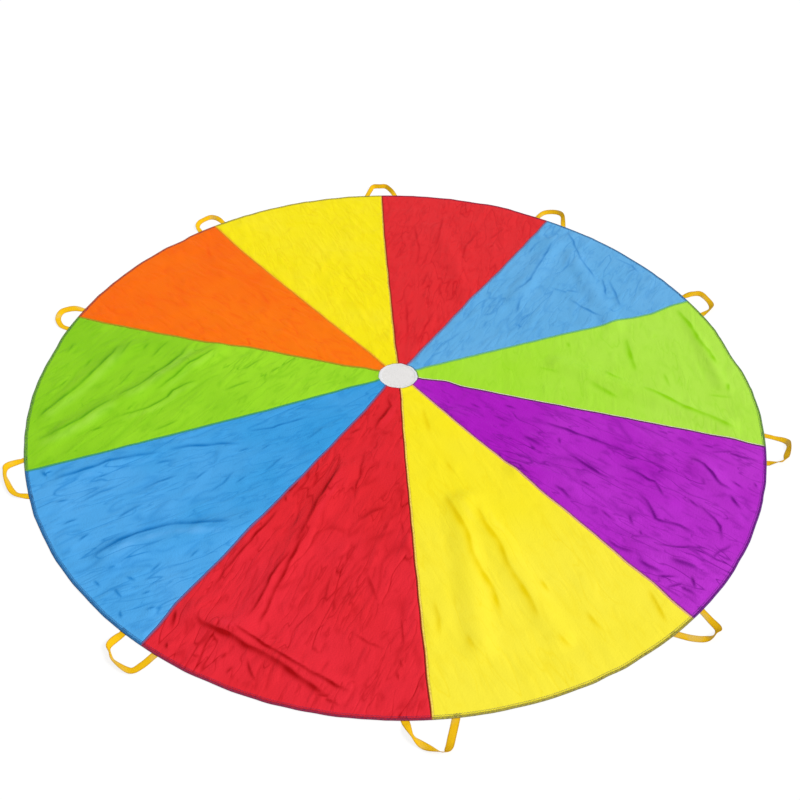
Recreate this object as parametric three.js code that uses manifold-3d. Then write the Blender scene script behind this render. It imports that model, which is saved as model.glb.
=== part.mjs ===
// A play parachute spread on the ground: cloth gores round a mesh vent, with webbing hand loops.
// Millimetres, +Z up. The origin is on the ground under the middle of the vent.
import * as THREE from "three";
import { mergeGeometries, mergeVertices } from "three/addons/utils/BufferGeometryUtils.js";
import Module from "manifold-3d";

const wasm = await Module();
wasm.setup();

// Canopy
const canopyRadius = 1525;
const goreCount = 10;
const firstSeamAngle = 95.3;
const clothThickness = 1.2;
const clothMeshStep = 80;
const fewestSteps = 3;

// Clearance between pieces that touch
const seat = 0.3;

// Vent
const ventRadius = 90;
const bindingWidth = 12;
const bindingThickness = 2.2;
const bindingRound = 0.6;
const netThickness = 0.8;
const netPitch = 10.6;
const netStrand = 2.6;

// Seams
const seamWidth = 8;
const seamHeight = 2.4;
const seamShoulder = 1.4;

// Hem
const hemWidth = 7;
const hemThickness = 2.4;
const hemRound = 0.8;

// Hand loops
const webbingWidth = 25;
const webbingThickness = 1.6;
const sewnLength = 40;
const hingeOutset = 1;
const stepsPerBend = 3;

// The cloth lies flat near the vent, and rests on the webbing ends along the hem
const flatCentre = 160;
const foldsStart = 330;
const rimBand = 30;
const rimRamp = 75;

// How far each seam wanders anticlockwise of its straight line, as [radius, distance] from the vent out
const seamWander = [
  [[90, -5], [200, 0], [1100, 0], [1500, -8]],
  [[90, 5], [700, 0], [1000, -8], [1500, -10]],
  [[90, 5], [130, 10], [300, 8], [800, 0], [1050, -10], [1140, 0], [1200, -10], [1300, -12], [1440, 8]],
  [[90, 8], [210, 22], [270, 8], [500, 3], [1000, 0], [1400, -6], [1470, -17]],
  [[90, 10], [400, 4], [800, 8], [1100, 8], [1250, 2], [1350, 7], [1440, -3]],
  [[90, 4], [400, -3], [1000, -6], [1500, -3]],
  [[90, -11], [250, 0], [600, -3], [1200, -11], [1350, -17], [1450, -4]],
  [[90, -4], [350, 0], [600, 7], [1200, 10], [1500, 10]],
  [[90, -10], [150, -12], [250, -3], [700, -7], [780, 3], [900, 12], [1400, 10], [1500, 4]],
  [[90, 5], [200, 0], [400, 7], [950, 15], [1250, 15], [1500, 4]],
];

// Main folds in the cloth: start and end as radius and angle, then height and half width
const folds = [
  { from: [1450, 198], to: [822, 171], height: 12, halfWidth: 75 },
  { from: [1440, 190], to: [1200, 174], height: 9, halfWidth: 70 },
  { from: [1440, 224], to: [969, 237], height: 12, halfWidth: 85 },
  { from: [1430, 207], to: [1145, 206], height: 7, halfWidth: 70 },
  { from: [1351, 242], to: [1444, 265], height: 13, halfWidth: 75 },
  { from: [579, 251], to: [1331, 249], height: 9, halfWidth: 75 },
  { from: [741, 289], to: [1300, 283], height: 10, halfWidth: 80 },
  { from: [731, 293], to: [1339, 294], height: 8, halfWidth: 75 },
  { from: [708, 313], to: [1212, 327], height: 10, halfWidth: 80 },
  { from: [1283, 338], to: [1430, 334], height: 11, halfWidth: 75 },
  { from: [1236, 315.5], to: [1430, 320], height: 12, halfWidth: 75 },
  { from: [1449, 17], to: [1422, 0.5], height: 13, halfWidth: 75 },
  { from: [721, 9], to: [1422, 349.5], height: 12, halfWidth: 80 },
  { from: [1353, 54], to: [798, 46], height: 9, halfWidth: 75 },
  { from: [1316, 48], to: [1077, 22], height: 9, halfWidth: 75 },
  { from: [1198, 81], to: [656, 60], height: 7, halfWidth: 85 },
];

// How each hand loop lies. shift is how far its middle is clockwise of the seam, and span how far
// apart its sewn ends are. The route gives distance along the hem, distance out and roll, where
// 0 is flat on the ground and 90 on edge.
const loopLays = [
  { shift: 6, span: 158, route: [[-58, 57, 15], [-40, 85, 60], [-2, 86, 80], [31, 85, 60], [57, 45, 50]] },
  { shift: 26, span: 157, route: [[-63, 50, 60], [-34, 82, 75], [3, 98, 70], [32, 86, 55], [61, 34, 20]] },
  { shift: 27, span: 150, route: [[-68, 44, 70], [-58, 82, 55], [-21, 94, 20], [27, 85, 30], [58, 57, 50]] },
  { shift: 29, span: 156, route: [[-75, 38, 0], [-66, 74, 25], [-40, 86, 65], [15, 76, 35], [56, 60, 75]] },
  { shift: 24, span: 136, route: [[-60, 38, 10], [-50, 72, 35], [-22, 78, 75], [10, 68, 15], [43, 36, 0]] },
  { shift: 7, span: 150, route: [[-58, 50, 0], [-44, 86, 25], [-24, 98, 70], [28, 73, 10], [59, 45, 55]] },
  { shift: 14, span: 138, route: [[-62, 45, 0], [-46, 78, 20], [14, 83, 60], [43, 72, 80], [68, 54, 60]] },
  { shift: -40, span: 190, route: [[-75, 36, 25], [-45, 52, 30], [2, 62, 50], [46, 66, 75], [80, 54, 45]] },
  { shift: -20, span: 143, route: [[-62, 38, 10], [-26, 74, 25], [14, 84, 45], [38, 70, 70], [62, 38, 45]] },
  { shift: -20, span: 140, route: [[-62, 40, 30], [-42, 62, 50], [-10, 72, 80], [37, 74, 70], [62, 44, 45]] },
];

// Colours of the gores, clockwise from the seam at the back
const goreColours = [
  ["red", 0xdc2e32],
  ["light_blue", 0x62abdf],
  ["green", 0xa7e232],
  ["purple", 0xaf1bc3],
  ["yellow", 0xfbe939],
  ["red", 0xe62c3a],
  ["blue", 0x3f98db],
  ["green", 0x96d82e],
  ["orange", 0xfc700d],
  ["yellow", 0xf4e41c],
];
const navyThread = 0x23285c;
const ventWhite = 0xe8e6e2;
const webbingYellow = 0xf3bd22;
const clothRoughness = 0.45;
const webbingRoughness = 0.75;
const threadRoughness = 0.8;

const parachute = new THREE.Group();

function addPiece(name, geometry, colour, roughness) {
  const material = new THREE.MeshStandardMaterial({ color: colour, roughness, metalness: 0 });
  const mesh = new THREE.Mesh(geometry, material);
  mesh.name = name;
  parachute.add(mesh);
  return mesh;
}

function pieceNumber(index) {
  return String(index + 1).padStart(2, "0");
}

const radians = THREE.MathUtils.degToRad;
const smoothstep = THREE.MathUtils.smoothstep;

// Seams are counted clockwise, seen from above
function seamAngle(index) {
  return radians(firstSeamAngle - (index * 360) / goreCount);
}

// Where a seam really runs at a radius
function wanderingAngle(index, radius) {
  const wander = seamWander[index % seamWander.length];
  const next = wander.findIndex(([listed]) => listed >= radius);
  if (next <= 0) return seamAngle(index) + wander.at(next)[1] / radius;
  const [[nearRadius, nearAside], [farRadius, farAside]] = wander.slice(next - 1, next + 1);
  const part = (radius - nearRadius) / (farRadius - nearRadius);
  return seamAngle(index) + THREE.MathUtils.lerp(nearAside, farAside, part) / radius;
}

function onCircle(radius, angle) {
  return new THREE.Vector2(radius * Math.cos(angle), radius * Math.sin(angle));
}

// Radii that the gores, seams, hem and vent share
const hemInner = canopyRadius - hemWidth;
const clothOuter = hemInner - seat;
const clothInner = ventRadius + seat;
const ventInner = ventRadius - bindingWidth;
const webbingBandInner = canopyRadius - sewnLength - rimBand;
const rimLift = webbingThickness + seat;
const clothGap = seamWidth / 2 + seat;

function foldHeight(fold, point) {
  const start = onCircle(fold.from[0], radians(fold.from[1]));
  const end = onCircle(fold.to[0], radians(fold.to[1]));
  const line = end.clone().sub(start);
  const along = point.clone().sub(start).dot(line) / line.lengthSq();
  const nearest = start.clone().addScaledVector(line, THREE.MathUtils.clamp(along, 0, 1));
  const reach = Math.min(point.distanceTo(nearest) / fold.halfWidth, 1);
  return fold.height * Math.cos((reach * Math.PI) / 2) ** 2;
}

// Height of the cloth's underside above the ground
function clothHeight(x, y) {
  const point = new THREE.Vector2(x, y);
  const radius = point.length();
  const folded = folds.reduce((sum, fold) => sum + foldHeight(fold, point), 0);
  const away = smoothstep(radius, flatCentre, foldsStart);
  const rim = smoothstep(radius, webbingBandInner - rimRamp, webbingBandInner);
  return folded * away * (1 - rim) + rimLift * rim;
}

// A closed geometry from points and triangles, turned so that its faces point out
function closedGeometry(points, triangles) {
  const [a, b, c] = [new THREE.Vector3(), new THREE.Vector3(), new THREE.Vector3()];
  let volume = 0;
  for (const [i, j, k] of triangles) {
    a.copy(points[i]);
    b.copy(points[j]);
    c.copy(points[k]);
    volume += a.dot(b.cross(c));
  }
  const index = triangles.flatMap(([i, j, k]) => (volume > 0 ? [i, j, k] : [i, k, j]));
  const geometry = new THREE.BufferGeometry().setFromPoints(points);
  geometry.setIndex(index);
  geometry.computeVertexNormals();
  return geometry;
}

// Triangles between two rows of points that may differ in number
function zipRows(near, far) {
  const triangles = [];
  let i = 0;
  let j = 0;
  while (i < near.length - 1 || j < far.length - 1) {
    const nearNext = (i + 1) / (near.length - 1);
    const farNext = (j + 1) / (far.length - 1);
    if (nearNext <= farNext) {
      triangles.push([near[i], near[i + 1], far[j]]);
      i += 1;
    } else {
      triangles.push([near[i], far[j + 1], far[j]]);
      j += 1;
    }
  }
  return triangles;
}

// A sheet of even thickness whose rows of plan points lie at clothHeight
function sheetGeometry(rows, thickness) {
  const points = [];
  const numbered = rows.map((row) => row.map((point) => points.push(point) - 1));
  const count = points.length;
  const under = points.map((p) => new THREE.Vector3(p.x, p.y, clothHeight(p.x, p.y)));
  const upper = under.map((p) => p.clone().setZ(p.z + thickness));
  const triangles = [];
  for (let row = 1; row < numbered.length; row += 1) {
    for (const [i, j, k] of zipRows(numbered[row - 1], numbered[row])) {
      triangles.push([i, j, k], [i + count, k + count, j + count]);
    }
  }
  const lastRow = numbered.at(-1);
  const edge = [
    ...numbered[0],
    ...numbered.slice(1, -1).map((row) => row.at(-1)),
    ...lastRow.slice().reverse(),
    ...numbered.slice(1, -1).map((row) => row[0]).reverse(),
  ];
  edge.forEach((from, place) => {
    const to = edge[(place + 1) % edge.length];
    triangles.push([from, from + count, to], [to, from + count, to + count]);
  });
  return closedGeometry([...under, ...upper], triangles);
}

// Joins sections with the same number of corners, in a ring or with flat ends
function loftGeometry(sections, closed) {
  const points = sections.flat();
  const corners = sections[0].length;
  const spans = closed ? sections.length : sections.length - 1;
  const triangles = [];
  for (let s = 0; s < spans; s += 1) {
    const near = s * corners;
    const far = ((s + 1) % sections.length) * corners;
    for (let c = 0; c < corners; c += 1) {
      const d = (c + 1) % corners;
      triangles.push([near + c, near + d, far + c], [near + d, far + d, far + c]);
    }
  }
  if (!closed) {
    const last = points.length - corners;
    for (let c = 1; c < corners - 1; c += 1) {
      triangles.push([0, c + 1, c], [last, last + c, last + c + 1]);
    }
  }
  return closedGeometry(points, triangles);
}

// Rows of a gore: closer to the vent they hold fewer points, so that the triangles stay even
const rowRadii = (() => {
  const count = Math.round((webbingBandInner - clothInner) / clothMeshStep);
  const step = (webbingBandInner - clothInner) / count;
  const radii = Array.from({ length: count + 1 }, (_, i) => clothInner + i * step);
  return [...radii, clothOuter];
})();

// A gore's edges run beside its seams, clothGap from the seam's middle
function goreAngles(index, radius) {
  const aside = Math.asin(clothGap / radius);
  const start = wanderingAngle(index, radius) - aside;
  const end = wanderingAngle(index + 1, radius) + aside;
  const evenWidth = (radius * 2 * Math.PI) / goreCount;
  const steps = Math.max(fewestSteps, Math.round(evenWidth / clothMeshStep));
  return Array.from({ length: steps + 1 }, (_, i) => start + ((end - start) * i) / steps);
}

function goreGeometry(index) {
  const rows = rowRadii.map((radius) => goreAngles(index, radius).map((angle) => onCircle(radius, angle)));
  return sheetGeometry(rows, clothThickness);
}

// Angles of the gores' corners and edge points at a radius, all the way round
function angleStations(radius) {
  return Array.from({ length: goreCount }, (_, index) => goreAngles(index, radius)).flat();
}

// A ring whose section is given as distance out from the inner radius and height
function ringGeometry(angles, innerRadius, section) {
  const sections = angles.map((angle) =>
    section.map(([out, z]) => {
      const place = onCircle(innerRadius + out, angle);
      return new THREE.Vector3(place.x, place.y, z);
    }),
  );
  return loftGeometry(sections, true);
}

function hemGeometry() {
  const top = rimLift + hemThickness;
  const section = [
    [0, rimLift],
    [hemWidth - hemRound, rimLift],
    [hemWidth, rimLift + hemRound],
    [hemWidth, top - hemRound],
    [hemWidth - hemRound, top],
    [0, top],
  ];
  return ringGeometry(angleStations(clothOuter), hemInner, section);
}

function bindingGeometry() {
  const section = [
    [0, 0],
    [bindingWidth, 0],
    [bindingWidth, bindingThickness - bindingRound],
    [bindingWidth - bindingRound, bindingThickness],
    [bindingRound, bindingThickness],
    [0, bindingThickness - bindingRound],
  ];
  return ringGeometry(angleStations(clothInner), ventInner, section);
}

function solidOf(geometry) {
  geometry.deleteAttribute("normal");
  geometry.deleteAttribute("uv");
  const merged = mergeVertices(geometry);
  const vertProperties = new Float32Array(merged.attributes.position.array);
  const triVerts = new Uint32Array(merged.index.array);
  return new wasm.Manifold(new wasm.Mesh({ numProp: 3, vertProperties, triVerts }));
}

function geometryOf(solid) {
  const { vertProperties, triVerts } = solid.getMesh();
  const geometry = new THREE.BufferGeometry();
  geometry.setAttribute("position", new THREE.BufferAttribute(vertProperties, 3));
  geometry.setIndex(new THREE.BufferAttribute(triVerts, 1));
  geometry.computeVertexNormals();
  return geometry;
}

// The net: a disc with a square gap cut wherever a whole one fits inside its border
function netGeometry() {
  const radius = ventInner - seat;
  const outline = new THREE.Shape(angleStations(clothInner).map((angle) => onCircle(radius, angle)));
  const disc = new THREE.ExtrudeGeometry(outline, { depth: netThickness, bevelEnabled: false });
  const gapWidth = netPitch - netStrand;
  const reach = Math.ceil(radius / netPitch);
  const gaps = [];
  for (let column = -reach; column <= reach; column += 1) {
    for (let row = -reach; row <= reach; row += 1) {
      const x = column * netPitch;
      const y = row * netPitch;
      const farCorner = Math.hypot(Math.abs(x) + gapWidth / 2, Math.abs(y) + gapWidth / 2);
      if (farCorner > radius - netStrand) continue;
      const gap = new THREE.BoxGeometry(gapWidth, gapWidth, 3 * netThickness);
      gaps.push(gap.translate(x, y, netThickness / 2));
    }
  }
  return geometryOf(solidOf(disc).subtract(solidOf(mergeGeometries(gaps))));
}

// A seam's ridge runs from the binding to the hem and follows the cloth's folds
function seamGeometry(index) {
  const section = [
    [-seamWidth / 2, 0],
    [seamWidth / 2, 0],
    [seamWidth / 2, seamShoulder],
    [0, seamHeight],
    [-seamWidth / 2, seamShoulder],
  ];
  const sections = rowRadii.map((radius) => {
    const angle = wanderingAngle(index, radius);
    const aside = new THREE.Vector2(-Math.sin(angle), Math.cos(angle));
    const middle = onCircle(radius, angle);
    const ground = clothHeight(middle.x, middle.y);
    return section.map(([across, z]) => {
      const place = middle.clone().addScaledVector(aside, across);
      return new THREE.Vector3(place.x, place.y, ground + z);
    });
  });
  return loftGeometry(sections, false);
}

// Places beside the hem: along it clockwise, out from the fold line of the loop, and up
function besideHem(index, along, out, up) {
  const angle = seamAngle(index) - loopLays[index % loopLays.length].shift / canopyRadius;
  const outward = onCircle(1, angle);
  const clockwise = new THREE.Vector2(outward.y, -outward.x);
  const plan = outward.clone().multiplyScalar(canopyRadius + hingeOutset + out);
  plan.addScaledVector(clockwise, along);
  return new THREE.Vector3(plan.x, plan.y, up);
}

// The route of a loop as points with a roll, its ends at the fold line
function loopRoute(index) {
  const { span, route } = loopLays[index % loopLays.length];
  return [[-span / 2, seat / 2, 0], ...route, [span / 2, seat / 2, 0]];
}

function loopGeometry(index) {
  const route = loopRoute(index);
  const curve = new THREE.CatmullRomCurve3(route.map(([along, out]) => new THREE.Vector3(along, out, 0)));
  const steps = (route.length - 1) * stepsPerBend;
  const sections = Array.from({ length: steps + 1 }, (_, step) => {
    const t = step / steps;
    const bend = Math.min(Math.floor(step / stepsPerBend), route.length - 2);
    const part = step / stepsPerBend - bend;
    const roll = radians(THREE.MathUtils.lerp(route[bend][2], route[bend + 1][2], part));
    const centre = curve.getPoint(t);
    const isEnd = step === 0 || step === steps;
    const forward = isEnd ? new THREE.Vector3(0, step === 0 ? 1 : -1, 0) : curve.getTangent(t);
    const flat = new THREE.Vector3(-forward.y, forward.x, 0);
    const upward = new THREE.Vector3(0, 0, 1);
    const across = flat.clone().multiplyScalar(Math.cos(roll)).addScaledVector(upward, Math.sin(roll));
    const through = new THREE.Vector3().crossVectors(forward, across);
    const rise = (webbingWidth * Math.abs(across.z) + webbingThickness * Math.abs(through.z)) / 2;
    return [[-1, -1], [1, -1], [1, 1], [-1, 1]].map(([side, face]) => {
      const corner = centre.clone().addScaledVector(across, (side * webbingWidth) / 2);
      corner.addScaledVector(through, (face * webbingThickness) / 2);
      return besideHem(index, corner.x, corner.y, rise + corner.z);
    });
  });
  return loftGeometry(sections, false);
}

// A sewn end carries on under the hem in the line in which the loop leaves it
function sewnEndGeometry(index, first) {
  const route = first ? loopRoute(index) : loopRoute(index).reverse();
  const [[along, out], [nextAlong, nextOut]] = route;
  const lean = (nextAlong - along) / (nextOut - out);
  const outer = -seat / 2;
  const inner = outer - sewnLength;
  return loftGeometry(
    [outer, inner].map((edge) =>
      [[-1, 0], [1, 0], [1, 1], [-1, 1]].map(([side, face]) => {
        const middle = along + lean * (edge - outer);
        return besideHem(index, middle + (side * webbingWidth) / 2, edge, face * webbingThickness);
      }),
    ),
    false,
  );
}

for (let index = 0; index < goreCount; index += 1) {
  const number = pieceNumber(index);
  const [colourName, colour] = goreColours[index % goreColours.length];
  addPiece(`gore_${number}_${colourName}`, goreGeometry(index), colour, clothRoughness);
  addPiece(`seam_${number}`, seamGeometry(index), navyThread, threadRoughness);
  addPiece(`handle_${number}_loop`, loopGeometry(index), webbingYellow, webbingRoughness);
  addPiece(`handle_${number}_end_a`, sewnEndGeometry(index, true), webbingYellow, webbingRoughness);
  addPiece(`handle_${number}_end_b`, sewnEndGeometry(index, false), webbingYellow, webbingRoughness);
}
addPiece("hem", hemGeometry(), navyThread, threadRoughness);
addPiece("vent_binding", bindingGeometry(), ventWhite, threadRoughness);
addPiece("vent_net", netGeometry(), ventWhite, threadRoughness);

export default parachute;
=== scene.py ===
import math
from collections import namedtuple

import bpy
import numpy as np
from mathutils import Matrix, Vector


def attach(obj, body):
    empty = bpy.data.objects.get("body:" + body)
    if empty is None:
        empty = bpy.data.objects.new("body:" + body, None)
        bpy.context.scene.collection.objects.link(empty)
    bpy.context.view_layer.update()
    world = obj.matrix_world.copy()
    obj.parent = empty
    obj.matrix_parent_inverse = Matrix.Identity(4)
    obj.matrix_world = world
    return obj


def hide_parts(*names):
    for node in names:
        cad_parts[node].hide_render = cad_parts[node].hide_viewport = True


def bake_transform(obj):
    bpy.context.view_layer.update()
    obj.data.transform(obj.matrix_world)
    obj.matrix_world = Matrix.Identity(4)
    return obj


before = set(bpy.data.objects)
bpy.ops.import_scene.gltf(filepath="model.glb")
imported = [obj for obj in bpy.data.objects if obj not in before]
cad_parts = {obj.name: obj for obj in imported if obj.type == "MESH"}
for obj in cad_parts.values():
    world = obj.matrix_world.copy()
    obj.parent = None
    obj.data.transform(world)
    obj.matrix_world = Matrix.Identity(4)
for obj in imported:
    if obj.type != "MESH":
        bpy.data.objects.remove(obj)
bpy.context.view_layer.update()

bpy.ops.object.select_all(action="DESELECT")

# Sizes in metres. The origin is on the ground under the middle of the vent, and +Z is up.
MM = 0.001
CANOPY_RADIUS = 1.525
GORES = 10
FIRST_SEAM = 95.3
CLOTH_THICKNESS = 0.0012
CLOTH_STEP = 0.005
SEAT = 0.0003
VENT_RADIUS = 0.09
TAPE_WIDTH = 0.012
SEAM_WIDTH = 0.008
HEM_WIDTH = 0.007
WEBBING_WIDTH = 0.025
WEBBING_THICKNESS = 0.0016
SEWN_LENGTH = 0.040
HINGE_OUT = 0.001
HEM_INNER = CANOPY_RADIUS - HEM_WIDTH
CLOTH_OUTER = HEM_INNER - SEAT
CLOTH_INNER = VENT_RADIUS + SEAT
CLOTH_GAP = SEAM_WIDTH / 2 + SEAT
RIM_LIFT = WEBBING_THICKNESS + SEAT
RIM_BAND_INNER = CANOPY_RADIUS - SEWN_LENGTH - 0.03
RIM_RAMP = 0.075
FLAT_CENTRE = 0.16
FOLDS_START = 0.33
LIGHT_FROM = np.array([0.97, -0.24])
SHOWN_THICKNESS = 0.0008
NET_RADIUS = VENT_RADIUS - TAPE_WIDTH + 0.002
NET_PITCH = 0.0043
RIB_PITCH = 0.0014
PLY_PITCH = 0.0021

# Distances from one stitch to the next along a row, and the threads' radii, in metres
SEAM_STITCH = 0.0034
SEAM_THREAD = 0.00035
HEM_OVERLOCK = 0.0040
HEM_OVERLOCK_THREAD = 0.00022
HEM_STITCH = 0.0042
HEM_STITCH_THREAD = 0.00045
VENT_STITCH = 0.0035
VENT_THREAD = 0.0006
LOOP_STITCH = 0.0015
LOOP_THREAD = 0.0003

# The camera and the lights. Angles are in radians for the camera, and in degrees for the key light.
CAMERA_PITCH = 0.7648
CAMERA_ROLL = 0.0333
CAMERA_PLACE = (0.0111, -2.5947, 2.3472)
CAMERA_LENS = 36.379
KEY_ELEVATION = 45
KEY_SOFTNESS = 20
KEY_STRENGTH = 0.46
FILL_STRENGTH = 0.54
FLOOR_GLOW = 0.82

# Where the rim bulges: angle and half width in degrees, and distance out in millimetres
RIM_BULGES = [(8, 5, -14), (139, 3, -9), (70, 4, 11), (178, 6, -5)]

# Crinkles of three sizes: breadth in metres, height in millimetres, and how wide their valleys are
CRINKLES = [(0.11, 2.2, 0.09), (0.06, 1.5, 0.14), (0.034, 0.8, 0.2)]

# How far each seam wanders anticlockwise of its straight line, as (radius, distance) in millimetres
SEAM_WANDER = [
    [(90, -5), (200, 0), (1100, 0), (1500, -8)],
    [(90, 5), (700, 0), (1000, -8), (1500, -10)],
    [(90, 5), (130, 10), (300, 8), (800, 0), (1050, -10), (1140, 0), (1200, -10), (1300, -12), (1440, 8)],
    [(90, 8), (210, 22), (270, 8), (500, 3), (1000, 0), (1400, -6), (1470, -17)],
    [(90, 10), (400, 4), (800, 8), (1100, 8), (1250, 2), (1350, 7), (1440, -3)],
    [(90, 4), (400, -3), (1000, -6), (1500, -3)],
    [(90, -11), (250, 0), (600, -3), (1200, -11), (1350, -17), (1450, -4)],
    [(90, -4), (350, 0), (600, 7), (1200, 10), (1500, 10)],
    [(90, -10), (150, -12), (250, -3), (700, -7), (780, 3), (900, 12), (1400, 10), (1500, 4)],
    [(90, 5), (200, 0), (400, 7), (950, 15), (1250, 15), (1500, 4)],
]

# Main folds, as in the solids: (radius, angle) of start and end, height and half width, in millimetres
FOLDS = [
    ((1450, 198), (822, 171), 12, 75),
    ((1440, 190), (1200, 174), 9, 70),
    ((1440, 224), (969, 237), 12, 85),
    ((1430, 207), (1145, 206), 7, 70),
    ((1351, 242), (1444, 265), 13, 75),
    ((579, 251), (1331, 249), 9, 75),
    ((741, 289), (1300, 283), 10, 80),
    ((731, 293), (1339, 294), 8, 75),
    ((708, 313), (1212, 327), 10, 80),
    ((1283, 338), (1430, 334), 11, 75),
    ((1236, 315.5), (1430, 320), 12, 75),
    ((1449, 17), (1422, 0.5), 13, 75),
    ((721, 9), (1422, 349.5), 12, 80),
    ((1353, 54), (798, 46), 9, 75),
    ((1316, 48), (1077, 22), 9, 75),
    ((1198, 81), (656, 60), 7, 85),
]

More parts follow.
